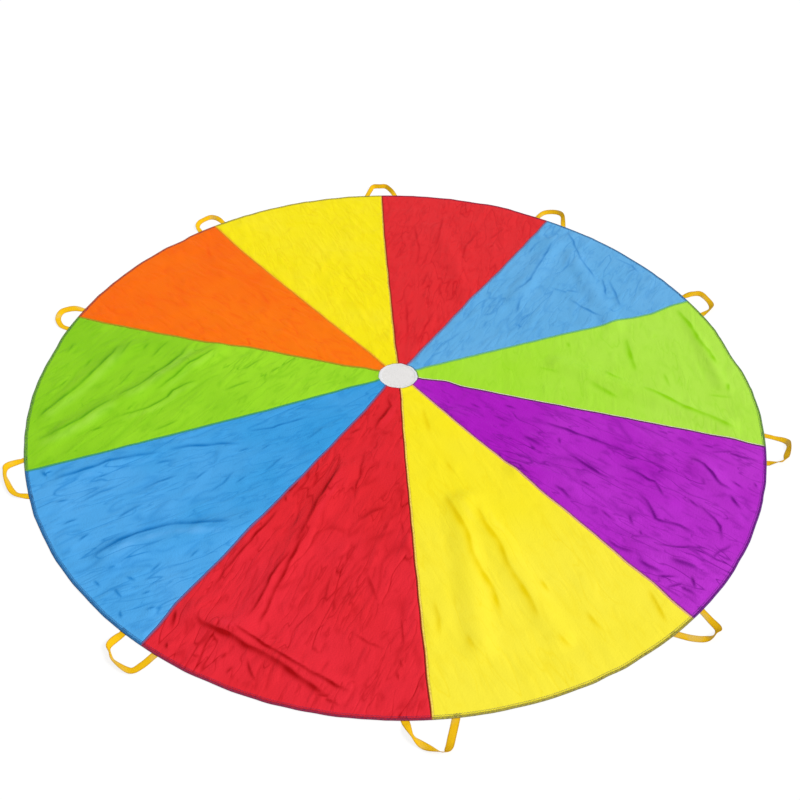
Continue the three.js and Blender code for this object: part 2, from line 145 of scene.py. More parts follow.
# Pressed creases of each gore: height and width in millimetres, and line in centimetres
CREASES = {
    "gore_01_red": [
        (1.6, 16, [(14, 80), (10, 64)]), (1.4, 16, [(31, 95), (32, 91)]),
        (1.2, 20, [(6, 125), (9, 100), (8, 82)]), (1.2, 20, [(42, 120), (33, 101), (30, 86)]),
        (1.3, 18, [(22, 133), (20, 115), (17, 98)]), (1.2, 18, [(3, 56), (4, 38), (4, 23)]),
        (1.2, 16, [(17, 48), (11, 30), (7, 19)]), (1.1, 18, [(56, 123), (45, 108)]),
    ],
    "gore_02_light_blue": [
        (2.6, 18, [(80, 110), (74, 95), (69, 85), (65, 75), (61, 69), (55, 63)]),
        (1.8, 14, [(66, 75), (61, 69)]), (2, 20, [(61, 62), (58, 57), (55, 45)]),
        (2.2, 18, [(88, 123), (91, 110), (92, 95), (95, 86), (98, 75)]),
        (2.8, 16, [(101, 80), (101, 68), (100, 60)]), (1.8, 20, [(104, 79), (106, 62), (106, 52)]),
        (2.2, 18, [(81, 61), (88, 53), (98, 45)]), (1.6, 22, [(72, 70), (81, 66), (90, 64)]),
        (1.6, 14, [(121, 88), (113, 82)]), (1.4, 16, [(76, 112), (70, 106), (65, 95)]),
        (1.4, 16, [(88, 98), (85, 88), (80, 80)]), (1.3, 18, [(109, 98), (118, 90), (122, 80)]),
        (1.2, 14, [(30, 33), (23, 25), (18, 19)]), (1.2, 16, [(42, 42), (38, 33)]),
    ],
    "gore_03_green": [
        (3.6, 34, [(133, 56), (137, 43), (138, 32), (141, 24), (142, 12)]),
        (2.4, 22, [(144, 3), (142, -5)]), (2.8, 34, [(105, 33), (105, 28), (105, 16), (105, 6)]),
        (2.6, 30, [(90, 9), (94, 5), (99, 2)]), (2.4, 34, [(82, 2), (89, -4), (96, -10)]),
        (3.4, 34, [(104, -1), (110, -4), (116, -9), (121, -14), (130, -18), (140, -27)]),
        (1.8, 20, [(117, 9), (118, -3)]), (1.6, 22, [(77, 28), (78, 22)]),
        (1.6, 24, [(131, -6), (144, -8)]), (1.4, 22, [(60, 10), (72, 6)]),
    ],
    "gore_04_purple": [
        (3, 18, [(59, -24), (70, -29), (78, -33), (84, -36), (90, -39), (97, -42)]),
        (2.4, 16, [(100, -45), (109, -51)]),
        (3, 16, [(86, -46), (93, -50), (98, -54), (100, -55), (101, -59), (102, -66)]),
        (3.2, 20, [(66, -41), (71, -44), (76, -49), (80, -52), (85, -56)]),
        (3.4, 24, [(50, -32), (55, -35), (60, -39)]), (2, 14, [(66, -33), (66, -38)]),
        (4.6, 20, [(115, -40), (121, -46), (123, -51), (125, -56), (130, -60)]),
        (4.4, 20, [(127, -60), (128, -64), (130, -69)]), (2.2, 12, [(129, -53), (134, -58)]),
        (2.2, 16, [(123, -40), (133, -39), (138, -41), (146, -44)]),
        (1.8, 16, [(121, -34), (127, -36), (132, -36)]), (2.2, 12, [(138, -54), (139, -58)]),
        (1.8, 14, [(105, -27), (110, -29), (115, -30)]), (2, 14, [(44, -15), (51, -18)]),
        (2, 14, [(39, -21), (48, -27)]), (3.2, 18, [(60, -58), (64, -61), (66, -64), (68, -67)]),
        (2.6, 14, [(87, -70), (88, -78)]), (2.2, 12, [(90, -78), (90, -82)]),
        (2.6, 18, [(91, -60), (95, -66), (97, -73), (105, -76), (112, -81)]),
        (3.4, 18, [(92, -86), (101, -87), (110, -86)]), (3, 20, [(76, -82), (80, -86), (87, -89)]),
        (5, 24, [(85, -90), (90, -94), (96, -97)]),
        (5, 24, [(96, -90), (101, -92), (106, -94), (107, -98)]), (3.2, 16, [(90, -99), (100, -99)]),
        (3.4, 16, [(92, -104), (99, -102), (103, -105), (104, -108)]), (3.2, 14, [(104, -97), (104, -105)]),
        (2.4, 16, [(113, -64), (120, -76), (118, -85)]), (2.6, 16, [(111, -93), (116, -88), (123, -84)]),
        (2, 14, [(70, -56), (76, -60)]), (2, 14, [(76, -69), (82, -76)]),
        (2.2, 14, [(110, -62), (115, -69)]), (1.8, 12, [(30, -15), (36, -19)]),
        (1.8, 12, [(56, -47), (62, -50)]),
    ],
    "gore_05_yellow": [
        (3.4, 34, [(19, -64), (23, -72), (27, -81), (29, -90), (32, -99), (35, -105), (38, -119)]),
        (3.4, 32, [(31, -69), (34, -78), (38, -85), (41, -94), (43, -100), (47, -109), (50, -118)]),
        (2, 26, [(51, -100), (55, -107)]), (2.2, 26, [(65, -112), (71, -121)]),
        (3, 26, [(88, -102), (91, -113), (92, -118)]), (1.6, 26, [(54, -121), (60, -127)]),
        (1.8, 26, [(15, -109), (17, -118), (17, -126)]), (2.4, 30, [(11, -18), (13, -26), (15, -35)]),
        (1.6, 26, [(25, -122), (29, -130)]), (1.6, 26, [(20, -47), (24, -56)]),
    ],
    "gore_06_red": [
        (4, 22, [(-20, -52), (-24, -62), (-27, -70), (-30, -79), (-32, -86), (-34, -92)]),
        (3, 16, [(-34, -92), (-36, -96), (-39, -101), (-41, -108), (-44, -117), (-47, -122)]),
        (3, 20, [(-29, -82), (-32, -90), (-34, -97), (-35, -101), (-38, -109), (-40, -118), (-42, -124)]),
        (3, 16, [(-41, -74), (-44, -80), (-47, -85), (-52, -94), (-56, -102), (-60, -111)]),
        (2.2, 12, [(-40, -68), (-39, -72)]),
        (6, 26, [(-64, -118), (-60, -122), (-51, -126), (-41, -131), (-34, -135), (-26, -140),
                 (-15, -146)]),
        (4, 16, [(-51, -122), (-48, -124), (-41, -128), (-31, -134), (-23, -138), (-15, -142),
                 (-9, -144)]),
        (2.6, 14, [(-24, -145), (-18, -146), (-12, -149)]),
        (2.6, 14, [(-44, -133), (-42, -138), (-39, -143)]),
        (4, 22, [(-70, -116), (-69, -120), (-69, -126)]), (3, 16, [(-70, -129), (-69, -132)]),
        (2.2, 12, [(-11, -50), (-12, -56), (-14, -63), (-15, -70)]),
        (1.8, 26, [(-14, -81), (-7, -75), (0, -72)]), (1.8, 14, [(-20, -102), (-21, -110), (-22, -117)]),
        (1.6, 14, [(-18, -110), (-18, -118)]), (1.8, 22, [(-8, -100), (-5, -108), (-3, -113)]),
        (2.4, 10, [(4, -116), (5, -125), (5, -130)]), (2, 10, [(4, -132), (5, -136)]),
        (1.8, 10, [(3, -136), (4, -140)]), (1.4, 10, [(3, -76), (4, -82), (4, -87)]),
        (3.6, 20, [(-4, -12), (-2, -19), (-5, -25), (-8, -32), (-9, -35)]),
        (1.8, 12, [(-11, -42), (-12, -49), (-13, -58), (-14, -63)]),
        (2, 14, [(-20, -53), (-23, -59), (-25, -64), (-27, -71)]), (2, 16, [(-13, -32), (-19, -37)]),
        (2, 12, [(-50, -132), (-52, -135)]), (1.8, 12, [(-58, -134), (-62, -133)]),
        (1.6, 14, [(-12, -123), (-6, -127), (0, -129)]), (1.6, 14, [(-50, -140), (-47, -137)]),
    ],
    "gore_07_blue": [
        (5.5, 34, [(-104, -101), (-95, -92), (-87, -87), (-77, -84), (-68, -83), (-56, -82)]),
        (2.6, 14, [(-100, -97), (-90, -88), (-83, -85), (-76, -82)]),
        (4.4, 26, [(-129, -66), (-120, -62), (-110, -56), (-100, -52), (-90, -49)]),
        (2.8, 24, [(-90, -49), (-81, -46), (-59, -43)]), (2.4, 18, [(-100, -83), (-96, -79), (-90, -74)]),
        (2.6, 14, [(-93, -109), (-90, -112), (-87, -115)]), (2.6, 14, [(-88, -118), (-86, -122)]),
        (2.2, 14, [(-100, -107), (-96, -110)]), (2, 14, [(-97, -104), (-93, -102)]),
        (2, 14, [(-80, -119), (-76, -117)]), (1.8, 12, [(-60, -64), (-55, -59)]),
        (1.8, 12, [(-50, -58), (-44, -51)]), (2.4, 16, [(-61, -37), (-49, -34), (-44, -31), (-34, -26)]),
        (1.8, 12, [(-36, -41), (-30, -34), (-27, -31)]), (1.6, 12, [(-53, -47), (-48, -42)]),
        (1.8, 12, [(-48, -55), (-42, -48)]), (3, 16, [(-134, -60), (-131, -62), (-128, -61)]),
        (2.2, 20, [(-93, -56), (-88, -54), (-83, -53)]), (2.2, 18, [(-96, -70), (-88, -64), (-80, -60)]),
        (2, 18, [(-115, -76), (-108, -70), (-101, -66)]), (2, 16, [(-70, -70), (-64, -64), (-60, -56)]),
        (1.8, 14, [(-76, -64), (-70, -56)]), (2.2, 16, [(-110, -93), (-106, -88)]),
        (2, 16, [(-118, -86), (-112, -82)]), (2.2, 14, [(-124, -76), (-118, -74)]),
        (2, 14, [(-82, -105), (-78, -99)]), (1.8, 12, [(-70, -98), (-66, -93)]),
        (2.2, 14, [(-90, -105), (-85, -107)]), (2, 12, [(-83, -113), (-79, -111)]),
        (1.8, 14, [(-62, -48), (-56, -45)]), (2, 14, [(-113, -64), (-106, -60)]),
    ],
    "gore_08_green": [
        (3.6, 18, [(-80, 14), (-84, 9), (-91, 1), (-95, -6), (-99, -12), (-102, -16)]),
        (4.6, 24, [(-94, 16), (-95, 9), (-100, 1), (-105, -7), (-110, -14), (-116, -20)]),
        (5, 26, [(-116, -20), (-121, -26), (-126, -33), (-131, -39), (-142, -46)]),
        (2.6, 16, [(-102, 20), (-106, 12), (-108, 5)]),
        (4.4, 26, [(-124, 16), (-125, 8), (-128, 0), (-130, -7), (-134, -15), (-138, -22),
                   (-142, -28), (-144, -36)]),
        (3.6, 18, [(-84, -7), (-89, -10), (-94, -14), (-95, -18), (-102, -25), (-109, -29), (-114, -32)]),
        (2.4, 16, [(-59, 9), (-65, 2), (-70, -1)]), (2, 20, [(-61, -6), (-68, -10), (-74, -14)]),
        (2, 12, [(-113, 0), (-116, -9), (-117, -14)]), (1.8, 12, [(-108, -23), (-110, -28)]),
        (2.4, 18, [(-87, -31), (-92, -35), (-98, -39)]), (2.4, 18, [(-116, -36), (-122, -40)]),
        (2, 18, [(-119, 20), (-120, 12), (-122, 4)]), (1.8, 18, [(-111, 17), (-113, 10)]),
        (1.8, 20, [(-133, 6), (-135, -3)]), (1.6, 18, [(-144, 16), (-145, 6)]),
        (1.8, 16, [(-139, -8), (-142, -17)]), (1.6, 16, [(-50, 4), (-56, -2)]),
    ],
    "gore_09_orange": [
        (1, 26, [(-102, 101), (-96, 82)]), (0.9, 26, [(-70, 62), (-60, 45)]),
        (1, 26, [(-112, 62), (-100, 52)]), (0.9, 26, [(-82, 42), (-70, 35)]),
        (1, 26, [(-124, 48), (-112, 42)]),
    ],
    "gore_10_yellow": [
        (1.2, 20, [(-59, 117), (-62, 108)]), (1, 22, [(-35, 130), (-40, 116)]),
        (1, 22, [(-30, 90), (-33, 78)]), (1, 22, [(-64, 96), (-56, 83)]),
        (0.9, 22, [(-20, 115), (-21, 102)]),
    ],
}

# How each hand loop lies, as in the solids: shift clockwise of the seam, span between the sewn ends, and
# the route as distance along the hem, distance out and roll. Roll is in degrees, from 0 for flat to 90
# for on edge, and the rest is in millimetres.
LOOP_LAYS = [
    (6, 158, [(-58, 57, 15), (-40, 85, 60), (-2, 86, 80), (31, 85, 60), (57, 45, 50)]),
    (26, 157, [(-63, 50, 60), (-34, 82, 75), (3, 98, 70), (32, 86, 55), (61, 34, 20)]),
    (27, 150, [(-68, 44, 70), (-58, 82, 55), (-21, 94, 20), (27, 85, 30), (58, 57, 50)]),
    (29, 156, [(-75, 38, 0), (-66, 74, 25), (-40, 86, 65), (15, 76, 35), (56, 60, 75)]),
    (24, 136, [(-60, 38, 10), (-50, 72, 35), (-22, 78, 75), (10, 68, 15), (43, 36, 0)]),
    (7, 150, [(-58, 50, 0), (-44, 86, 25), (-24, 98, 70), (28, 73, 10), (59, 45, 55)]),
    (14, 138, [(-62, 45, 0), (-46, 78, 20), (14, 83, 60), (43, 72, 80), (68, 54, 60)]),
    (-40, 190, [(-75, 36, 25), (-45, 52, 30), (2, 62, 50), (46, 66, 75), (80, 54, 45)]),
    (-20, 143, [(-62, 38, 10), (-26, 74, 25), (14, 84, 45), (38, 70, 70), (62, 38, 45)]),
    (-20, 140, [(-62, 40, 30), (-42, 62, 50), (-10, 72, 80), (37, 74, 70), (62, 44, 45)]),
]


def linear(red, green, blue):
    """A colour from the 0 to 255 values of a screen, as shaders want it."""
    parts = [c / 255 for c in (red, green, blue)]
    return tuple(c / 12.92 if c <= 0.04045 else ((c + 0.055) / 1.055) ** 2.4 for c in parts) + (1.0,)


# Each gore's cloth, with its own tone and the colours of its painted sheen and painted shade, from 0 to
# 255 as on a screen. Drift is how far its colour goes to the painted sheen at the rim, or to the painted
# shade if it is negative. Grain is its crinkles' direction in degrees.
Cloth = namedtuple("Cloth", "node tone pale dark drift grain crinkled")
CLOTHS = [
    Cloth("gore_01_red", (227, 40, 46), (232, 52, 60), (192, 0, 20), 0.0, 80, 1.1),
    Cloth("gore_02_light_blue", (96, 172, 226), (122, 188, 240), (54, 136, 206), 0.1, 60, 1.1),
    Cloth("gore_03_green", (166, 225, 46), (190, 236, 92), (144, 214, 6), 0.45, 85, 0.7),
    Cloth("gore_04_purple", (172, 20, 192), (198, 62, 216), (120, 0, 144), 0.4, -35, 1.5),
    Cloth("gore_05_yellow", (250, 233, 24), (253, 239, 88), (242, 216, 0), 0.4, -65, 0.6),
    Cloth("gore_06_red", (224, 35, 44), (238, 44, 64), (174, 0, 8), 0.4, -110, 1.35),
    Cloth("gore_07_blue", (54, 156, 223), (102, 180, 243), (16, 122, 198), 0.4, 30, 1.2),
    Cloth("gore_08_green", (156, 220, 36), (180, 231, 84), (104, 180, 0), -0.36, 58, 1.1),
    Cloth("gore_09_orange", (254, 120, 0), (254, 130, 26), (250, 86, 0), -0.35, 140, 1.2),
    Cloth("gore_10_yellow", (249, 231, 8), (253, 237, 60), (240, 214, 0), 0.05, 115, 1.2),
]
FIRST_CLOTH_SEED = 11

NAVY = linear(36, 40, 88)
WHITE_TAPE = linear(236, 236, 238)
NET_WHITE = linear(228, 224, 221)
WEBBING_GOLD = linear(254, 200, 6)
# The webbing's shade colour is painted shade along its edges, mixed in with its random mottling.
WEBBING_SHADE = linear(204, 154, 18)
WEBBING_FADED = linear(226, 194, 110)

# Each seam's colours on the clockwise side, the crest and the anticlockwise side, and its thread's, from
# 0 to 255 as on a screen. Besides the gores' cloth and the thread, most seams carry painted shade on the
# fold's dark side and a painted highlight on its pale edge.
SEAM_LOOKS = [
    ((158, 40, 0), (210, 120, 24), (255, 224, 96), (120, 34, 10)),
    ((128, 132, 176), (158, 118, 168), (166, 72, 96), (96, 84, 130)),
    ((124, 200, 106), (118, 192, 136), (114, 188, 172), (80, 150, 110)),
    ((96, 44, 90), (130, 100, 100), (254, 246, 216), (70, 34, 76)),
    ((246, 200, 132), (240, 180, 176), (120, 24, 104), (214, 150, 110)),
    ((150, 34, 0), (206, 116, 24), (255, 226, 98), (110, 28, 10)),
    ((84, 110, 170), (138, 104, 158), (164, 60, 92), (78, 72, 128)),
    ((94, 186, 84), (74, 168, 104), (58, 156, 138), (46, 120, 84)),
    ((214, 146, 24), (190, 150, 18), (168, 156, 16), (150, 120, 18)),
    ((254, 198, 40), (250, 180, 30), (238, 150, 12), (226, 140, 18)),
]


# Shapes in plan

def seam_angle(index):
    """Seams are counted clockwise, seen from above."""
    return math.radians(FIRST_SEAM - index * 360 / GORES)


def turn_between(start, end):
    """The turn from one angle to another, the short way round."""
    return (end - start + math.pi) % (2 * math.pi) - math.pi


def smoothstep(value, low, high):
    part = np.clip((value - low) / (high - low), 0, 1)
    return part * part * (3 - 2 * part)


def bell(value, middle, half_width):
    """1 at its middle, with an easy fall on both sides."""
    return np.exp(-(((value - middle) / half_width) ** 2))


def gradient_noise(x, y, seed):
    """Smooth noise between about -0.7 and 0.7, one bump to a unit."""
    turn = np.random.RandomState(seed).uniform(0, 2 * math.pi, (128, 128))
    x0 = np.floor(x).astype(int)
    y0 = np.floor(y).astype(int)
    fx, fy = x - x0, y - y0
    ease_x = fx ** 3 * (fx * (fx * 6 - 15) + 10)
    ease_y = fy ** 3 * (fy * (fy * 6 - 15) + 10)

    def corner(i, j):
        angle = turn[(x0 + i) & 127, (y0 + j) & 127]
        return np.cos(angle) * (fx - i) + np.sin(angle) * (fy - j)

    near = corner(0, 0) * (1 - ease_x) + corner(1, 0) * ease_x
    far = corner(0, 1) * (1 - ease_x) + corner(1, 1) * ease_x
    return near * (1 - ease_y) + far * ease_y


def noise_along(place, seed, row=0.0):
    """One row of the same noise, for what changes along a line."""
    return gradient_noise(place, np.full_like(place, row), seed)


def wander_table():
    """Each seam's wander on even radii, with its corners rounded off and a slight ripple."""
    radii = np.arange(0.05, 1.6, 0.005)
    window = np.hanning(13)
    window /= window.sum()
    tables = []
    for listed in SEAM_WANDER:
        at, aside = np.array(listed, float).T * MM
        padded = np.pad(np.interp(radii, at, aside), len(window) // 2, mode="edge")
        ripple = 0.003 * noise_along(radii / 0.09, 34, len(tables))
        tables.append(np.convolve(padded, window, mode="valid") + ripple)
    return radii, tables


WANDER_RADII, WANDERS = wander_table()


def wandering_angle(index, radius):
    """Where a seam runs at a radius, or at each of several."""
    radius = np.asarray(radius, float)
    return seam_angle(index) + np.interp(radius, WANDER_RADII, WANDERS[index % GORES]) / radius


def loop_middle(index):
    """The angle of a hand loop's middle."""
    return seam_angle(index) - LOOP_LAYS[index][0] * MM / CANOPY_RADIUS


def away_from_loops(angle):
    """0 beside a hand loop's ends and 1 further along the hem."""
    gaps = [np.abs(turn_between(loop_middle(index), angle)) for index in range(GORES)]
    return smoothstep(np.min(gaps, axis=0) * CANOPY_RADIUS, 0.12, 0.2)


def vent_edge(angle):
    """Radius of the cloth's inner edge, which lies over the vent's tape and isn't quite round."""
    uneven = 0.0042 * gradient_noise(np.cos(angle) * 2.8 + 5, np.sin(angle) * 2.8 + 5, 33)
    return 0.085 * np.cos(angle) ** 2 + (0.079 + 0.001 * np.sin(angle)) * np.sin(angle) ** 2 + uneven


def on_plan(radius, angle):
    """A place on the ground. The vent isn't quite round, nor is the rim away from the hand loops."""
    radius, angle = np.broadcast_arrays(np.asarray(radius, float), np.asarray(angle, float))
    turn = np.degrees(angle) % 360
    uneven = 0.0035 * noise_along(turn / 3.1, 31, 4.5)
    for middle, half_width, bulge in RIM_BULGES:
        uneven = uneven + bulge * MM * bell(turn, middle, half_width)
    reach = radius + uneven * away_from_loops(angle) * smoothstep(radius, 1.3, 1.5)
    reach = reach + (vent_edge(angle) - CLOTH_INNER) * (1 - smoothstep(radius, CLOTH_INNER, FLAT_CENTRE))
    return reach * np.cos(angle), reach * np.sin(angle)


# Folds and creases

def on_circle(radius, degrees):
    turn = math.radians(degrees)
    return np.array([math.cos(turn), math.sin(turn)]) * radius * MM


def from_stretch(x, y, start, end):
    """How far along a straight stretch each place lies, from 0 to 1, and how it lies from there."""
    part = end - start
    along = np.clip(((x - start[0]) * part[0] + (y - start[1]) * part[1]) / (part @ part), 0, 1)
    return along, x - start[0] - along * part[0], y - start[1] - along * part[1]


def lie(x, y):
    """Height of the cloth's underside: what the gores, seams and hem share."""
    radius = np.hypot(x, y)
    turn = np.arctan2(y, x)
    folded = np.zeros_like(radius)
    for start, end, height, half_width in FOLDS:
        _, aside_x, aside_y = from_stretch(x, y, on_circle(*start), on_circle(*end))
        reach = np.minimum(np.hypot(aside_x, aside_y) / (half_width * MM), 1)
        folded += height * MM * np.cos(reach * math.pi / 2) ** 2
    rim = smoothstep(radius, RIM_BAND_INNER - RIM_RAMP, RIM_BAND_INNER)
    lifted = folded * smoothstep(radius, FLAT_CENTRE, FOLDS_START) * (1 - rim) + RIM_LIFT * rim
    ripple = 0.0034 * np.clip(gradient_noise(turn * CANOPY_RADIUS / 0.07, radius / 0.3, 41) + 0.1, 0, 1)
    soft = 0.0022 * np.clip(gradient_noise(x / 0.13, y / 0.13, 42) + 0.1, 0, 1)
    soft = soft * smoothstep(radius, 0.1, 0.25) * (1 - rim)
    over_tape = 0.0022 * (1 - smoothstep(radius, 0.088, 0.106))
    return lifted + ripple * rim * away_from_loops(turn) + soft + over_tape + 0.0001


def nearest_on_line(x, y, points):
    """Each place's distance to a line of points, its signed distance to the light's side of that line, and
    how far along it lies. Also the line's length."""
    lengths = np.hypot(*np.diff(points, axis=0).T)
    best = np.full(len(x), 9.0)
    side = np.zeros(len(x))
    place = np.zeros(len(x))
    for k, (start, end) in enumerate(zip(points[:-1], points[1:])):
        along, aside_x, aside_y = from_stretch(x, y, start, end)
        away = np.hypot(aside_x, aside_y)
        normal = np.array([start[1] - end[1], end[0] - start[0]]) / lengths[k]
        if normal @ LIGHT_FROM < 0:
            normal = -normal
        closer = away < best
        best = np.where(closer, away, best)
        side = np.where(closer, aside_x * normal[0] + aside_y * normal[1], side)
        place = np.where(closer, lengths[:k].sum() + along * lengths[k], place)
    return best, side, place, lengths.sum()


def crease_heights(x, y, creases):
    """Folds with a long easy slope towards the light and a short steep one away from it. Also gives the
    painted shade at their feet, and the painted highlight on the easy slopes of the larger ones."""
    raised = np.zeros_like(x)
    shade = np.zeros_like(x)
    pale = np.zeros_like(x)
    for height, width, line in creases:
        points = np.array(line, float) / 100
        width = width * MM
        reach = 3 * width
        low, high = points.min(0) - reach, points.max(0) + reach
        near = np.nonzero((x > low[0]) & (x < high[0]) & (y > low[1]) & (y < high[1]))[0]
        if not len(near):
            continue
        best, side, place, length = nearest_on_line(x[near], y[near], points)
        across = best * np.sign(side) + 0.25 * width * noise_along(place / (2.5 * width), 51, 0.5)
        taper = min(0.45 * length, 0.08)
        ends = smoothstep(place, 0, taper) * smoothstep(length - place, 0, taper)
        ends = ends * np.exp(-np.clip(best - np.abs(side), 0, 1) / 0.01)
        ends = ends * (0.85 + 0.6 * noise_along(place / 0.05, 52, 0.5))
        steep = max(0.5 * width, 0.009)
        slope = np.where(across > 0, 1 - smoothstep(across, 0, reach), 1 - smoothstep(-across, 0, steep))
        # Painted shade at the foot of the steep side, and a painted highlight on the lit easy slope of the
        # larger folds.
        painted_foot_shade = bell(across / width, -0.22, np.where(across / width > -0.22, 0.2, 0.5))
        crest = bell(across / width, 0.9, 0.7)
        raised[near] += 0.75 * height * MM * slope * ends
        shade[near] = np.maximum(shade[near], painted_foot_shade * ends * min(0.35 + height / 4, 1.15))
        pale[near] = np.maximum(pale[near], crest * ends * np.clip((height - 2.4) / 4, 0, 0.7))
    return raised, shade, pale


def crinkle(x, y, grain, seed):
    """Small soft creases of crumpled taffeta, drawn out along the grain: their height in millimetres,
    and the painted shade along their valleys."""
    turn = math.radians(grain)
    along = x * math.cos(turn) + y * math.sin(turn)
    across = -x * math.sin(turn) + y * math.cos(turn)
    across = across + 0.03 * gradient_noise(x / 0.12, y / 0.12, seed)
    total = np.zeros_like(x)
    painted_crinkle_shade = np.zeros_like(x)
    for step, (breadth, height, thin) in enumerate(CRINKLES):
        shift = seed + 20 * (step + 1)
        wave = np.abs(gradient_noise(along / (5 * breadth), across / breadth, shift))
        patch = 1.8 * breadth
        kept = smoothstep(gradient_noise(x / patch, y / patch, shift + 9), 0.0, 0.3)
        total += 1.3 * height * wave.clip(0, 0.4) / 0.4 * kept
        # Painted shade along the valleys.
        painted_crinkle_shade = np.maximum(painted_crinkle_shade, (1 - wave / thin).clip(0, 1) ** 1.5 * kept)
    return total, painted_crinkle_shade


def seam_puckers(aside, along, seed):
    """Small gathers that run out from a seam or the hem."""
    wave = gradient_noise(along / 0.02, aside / 0.07, seed)
    wave = wave + 0.6 * gradient_noise(along / 0.045, aside / 0.1, seed + 1)
    return (wave + 0.3).clip(0, 1.2) * np.exp(-aside / 0.022)


def gore_top(index, x, y):
    """Height of a gore's upper face, and how far its colour goes to its painted shade and its painted
    sheen.
    """
    cloth = CLOTHS[index]
    seed = FIRST_CLOTH_SEED + index
    radius = np.hypot(x, y)
    turn = np.arctan2(y, x)
    seams = [wandering_angle(side, np.maximum(radius, 0.06)) for side in (index, index + 1)]
    aside = np.min([np.abs(turn_between(seam, turn)) * radius for seam in seams], axis=0)
    rim_gap = np.maximum(CANOPY_RADIUS - radius, 0)
    raised, dark, pale = crease_heights(x, y, CREASES[cloth.node])
    fine, painted_crinkle_shade = crinkle(x, y, cloth.grain, seed)
    fade = smoothstep(aside, 0.004, 0.02) * smoothstep(radius, 0.1, 0.13) * smoothstep(rim_gap, 0.012, 0.04)
    puckers = 1.6 * seam_puckers(aside, radius, seed + 3) * smoothstep(aside, 0.003, 0.009)
    puckers = puckers * smoothstep(radius, 0.1, 0.14) * smoothstep(rim_gap, 0.0, 0.03)
    gathers = 1.3 * seam_puckers(rim_gap, turn * CANOPY_RADIUS, seed + 5)
    gathers = gathers * smoothstep(rim_gap, 0.006, 0.014)
    height = lie(x, y) + CLOTH_THICKNESS + (raised + fine * cloth.crinkled * MM) * fade
    height = height + (puckers + gathers) * (0.4 + cloth.crinkled) * MM
    # Painted shade in the crinkles' valleys.
    dark = np.maximum(dark, 0.3 * cloth.crinkled * painted_crinkle_shade) * fade
    # Soft patches and a drift towards the rim of painted sheen, or of painted shade where the drift is
    # negative.
    painted_light_patches = gradient_noise(x / 0.28, y / 0.28, seed + 1)
    painted_light_patches = painted_light_patches + 0.5 * gradient_noise(x / 0.11, y / 0.11, seed + 2)
    drift = abs(cloth.drift) * smoothstep(radius, 0.3, 1.4) + 0.22 * cloth.crinkled * painted_light_patches
    drift = drift.clip(0, 1)
    if cloth.drift < 0:
        dark = dark + drift * (1 - dark)
    else:
        pale = np.maximum(pale * fade, drift)
    return np.maximum(height, CLOTH_THICKNESS), dark, pale


def gore_at(angle):
    """Which gore lies at each angle of the rim."""
    found = np.zeros(len(angle), int)
    for index in range(GORES):
        start = wandering_angle(index, CANOPY_RADIUS)
        gap = (start - angle) % (2 * math.pi)
        width = float(start - wandering_angle(index + 1, CANOPY_RADIUS)) % (2 * math.pi)
        found[gap < width] = index
    return found


def cloth_height(x, y):
    """Height of the upper face of the cloth near the rim, whichever gore it is."""
    gores = gore_at(np.arctan2(y, x) % (2 * math.pi))
    height = np.zeros(len(x))
    for index in range(GORES):
        here = gores == index
        if here.any():
            height[here] = gore_top(index, x[here], y[here])[0]
    return height


# Meshes

def new_piece(name, vertices, faces):
    mesh = bpy.data.meshes.new(name)
    mesh.from_pydata(vertices, [], faces)
    mesh.update()
    piece = bpy.data.objects.new(name, mesh)
    bpy.context.scene.collection.objects.link(piece)
    return piece


def activate(piece):
    bpy.ops.object.select_all(action="DESELECT")
    bpy.context.view_layer.objects.active = piece
    piece.select_set(True)


def apply_modifiers(piece):
    activate(piece)
    for modifier in list(piece.modifiers):
        bpy.ops.object.modifier_apply(modifier=modifier.name)


def smooth(piece, angle=None):
    activate(piece)
    if angle is None:
        bpy.ops.object.shade_smooth()
    else:
        bpy.ops.object.shade_smooth_by_angle(angle=math.radians(angle))


def outward(piece):
    """Turns the faces of a closed piece out."""
    activate(piece)
    bpy.ops.object.mode_set(mode="EDIT")
    bpy.ops.mesh.select_all(action="SELECT")
    bpy.ops.mesh.normals_make_consistent(inside=False)
    bpy.ops.object.mode_set(mode="OBJECT")


def sew_to_canopy(piece, material, slot, *nodes):
    """Gives a piece its material and body, and hides the nodes that it takes the place of. Its slot is not
    used.
    """
    piece.data.materials.append(material)
    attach(piece, "canopy")
    if nodes:
        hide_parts(*nodes)


def point_attribute(piece, name, values):
    attribute = piece.data.attributes.new(name, "FLOAT", "POINT")
    attribute.data.foreach_set("value", np.asarray(values, np.float32))


def colour_attribute(piece, name, values):
    attribute = piece.data.attributes.new(name, "FLOAT_COLOR", "POINT")
    attribute.data.foreach_set("color", np.asarray(values, np.float32).ravel())


def vertex_places(piece):
    return np.array([vertex.co for vertex in piece.data.vertices])


def place_vertices(piece, places):
    piece.data.vertices.foreach_set("co", places.astype(np.float32).ravel())


def zip_rows(near, far):
    """Triangles between two rows of points that may differ in number."""
    faces = []
    i = j = 0
    last_i, last_j = len(near) - 1, len(far) - 1
    while i < last_i or j < last_j:
        if j == last_j or (i < last_i and (i + 1) * last_j <= (j + 1) * last_i):
            faces.append((near[i], near[i + 1], far[j]))
            i += 1
        else:
            faces.append((near[i], far[j + 1], far[j]))
            j += 1
    return faces


def tube_faces(stations, corners, closed_ring):
    """Quads between sections with the same number of corners, in a ring or with flat ends."""
    faces = []
    for s in range(stations if closed_ring else stations - 1):
        a, b = s * corners, ((s + 1) % stations) * corners
        for c in range(corners):
            d = (c + 1) % corners
            faces.append((a + c, a + d, b + d, b + c))
    if not closed_ring:
        faces.append(tuple(reversed(range(corners))))
        faces.append(tuple(range((stations - 1) * corners, stations * corners)))
    return faces


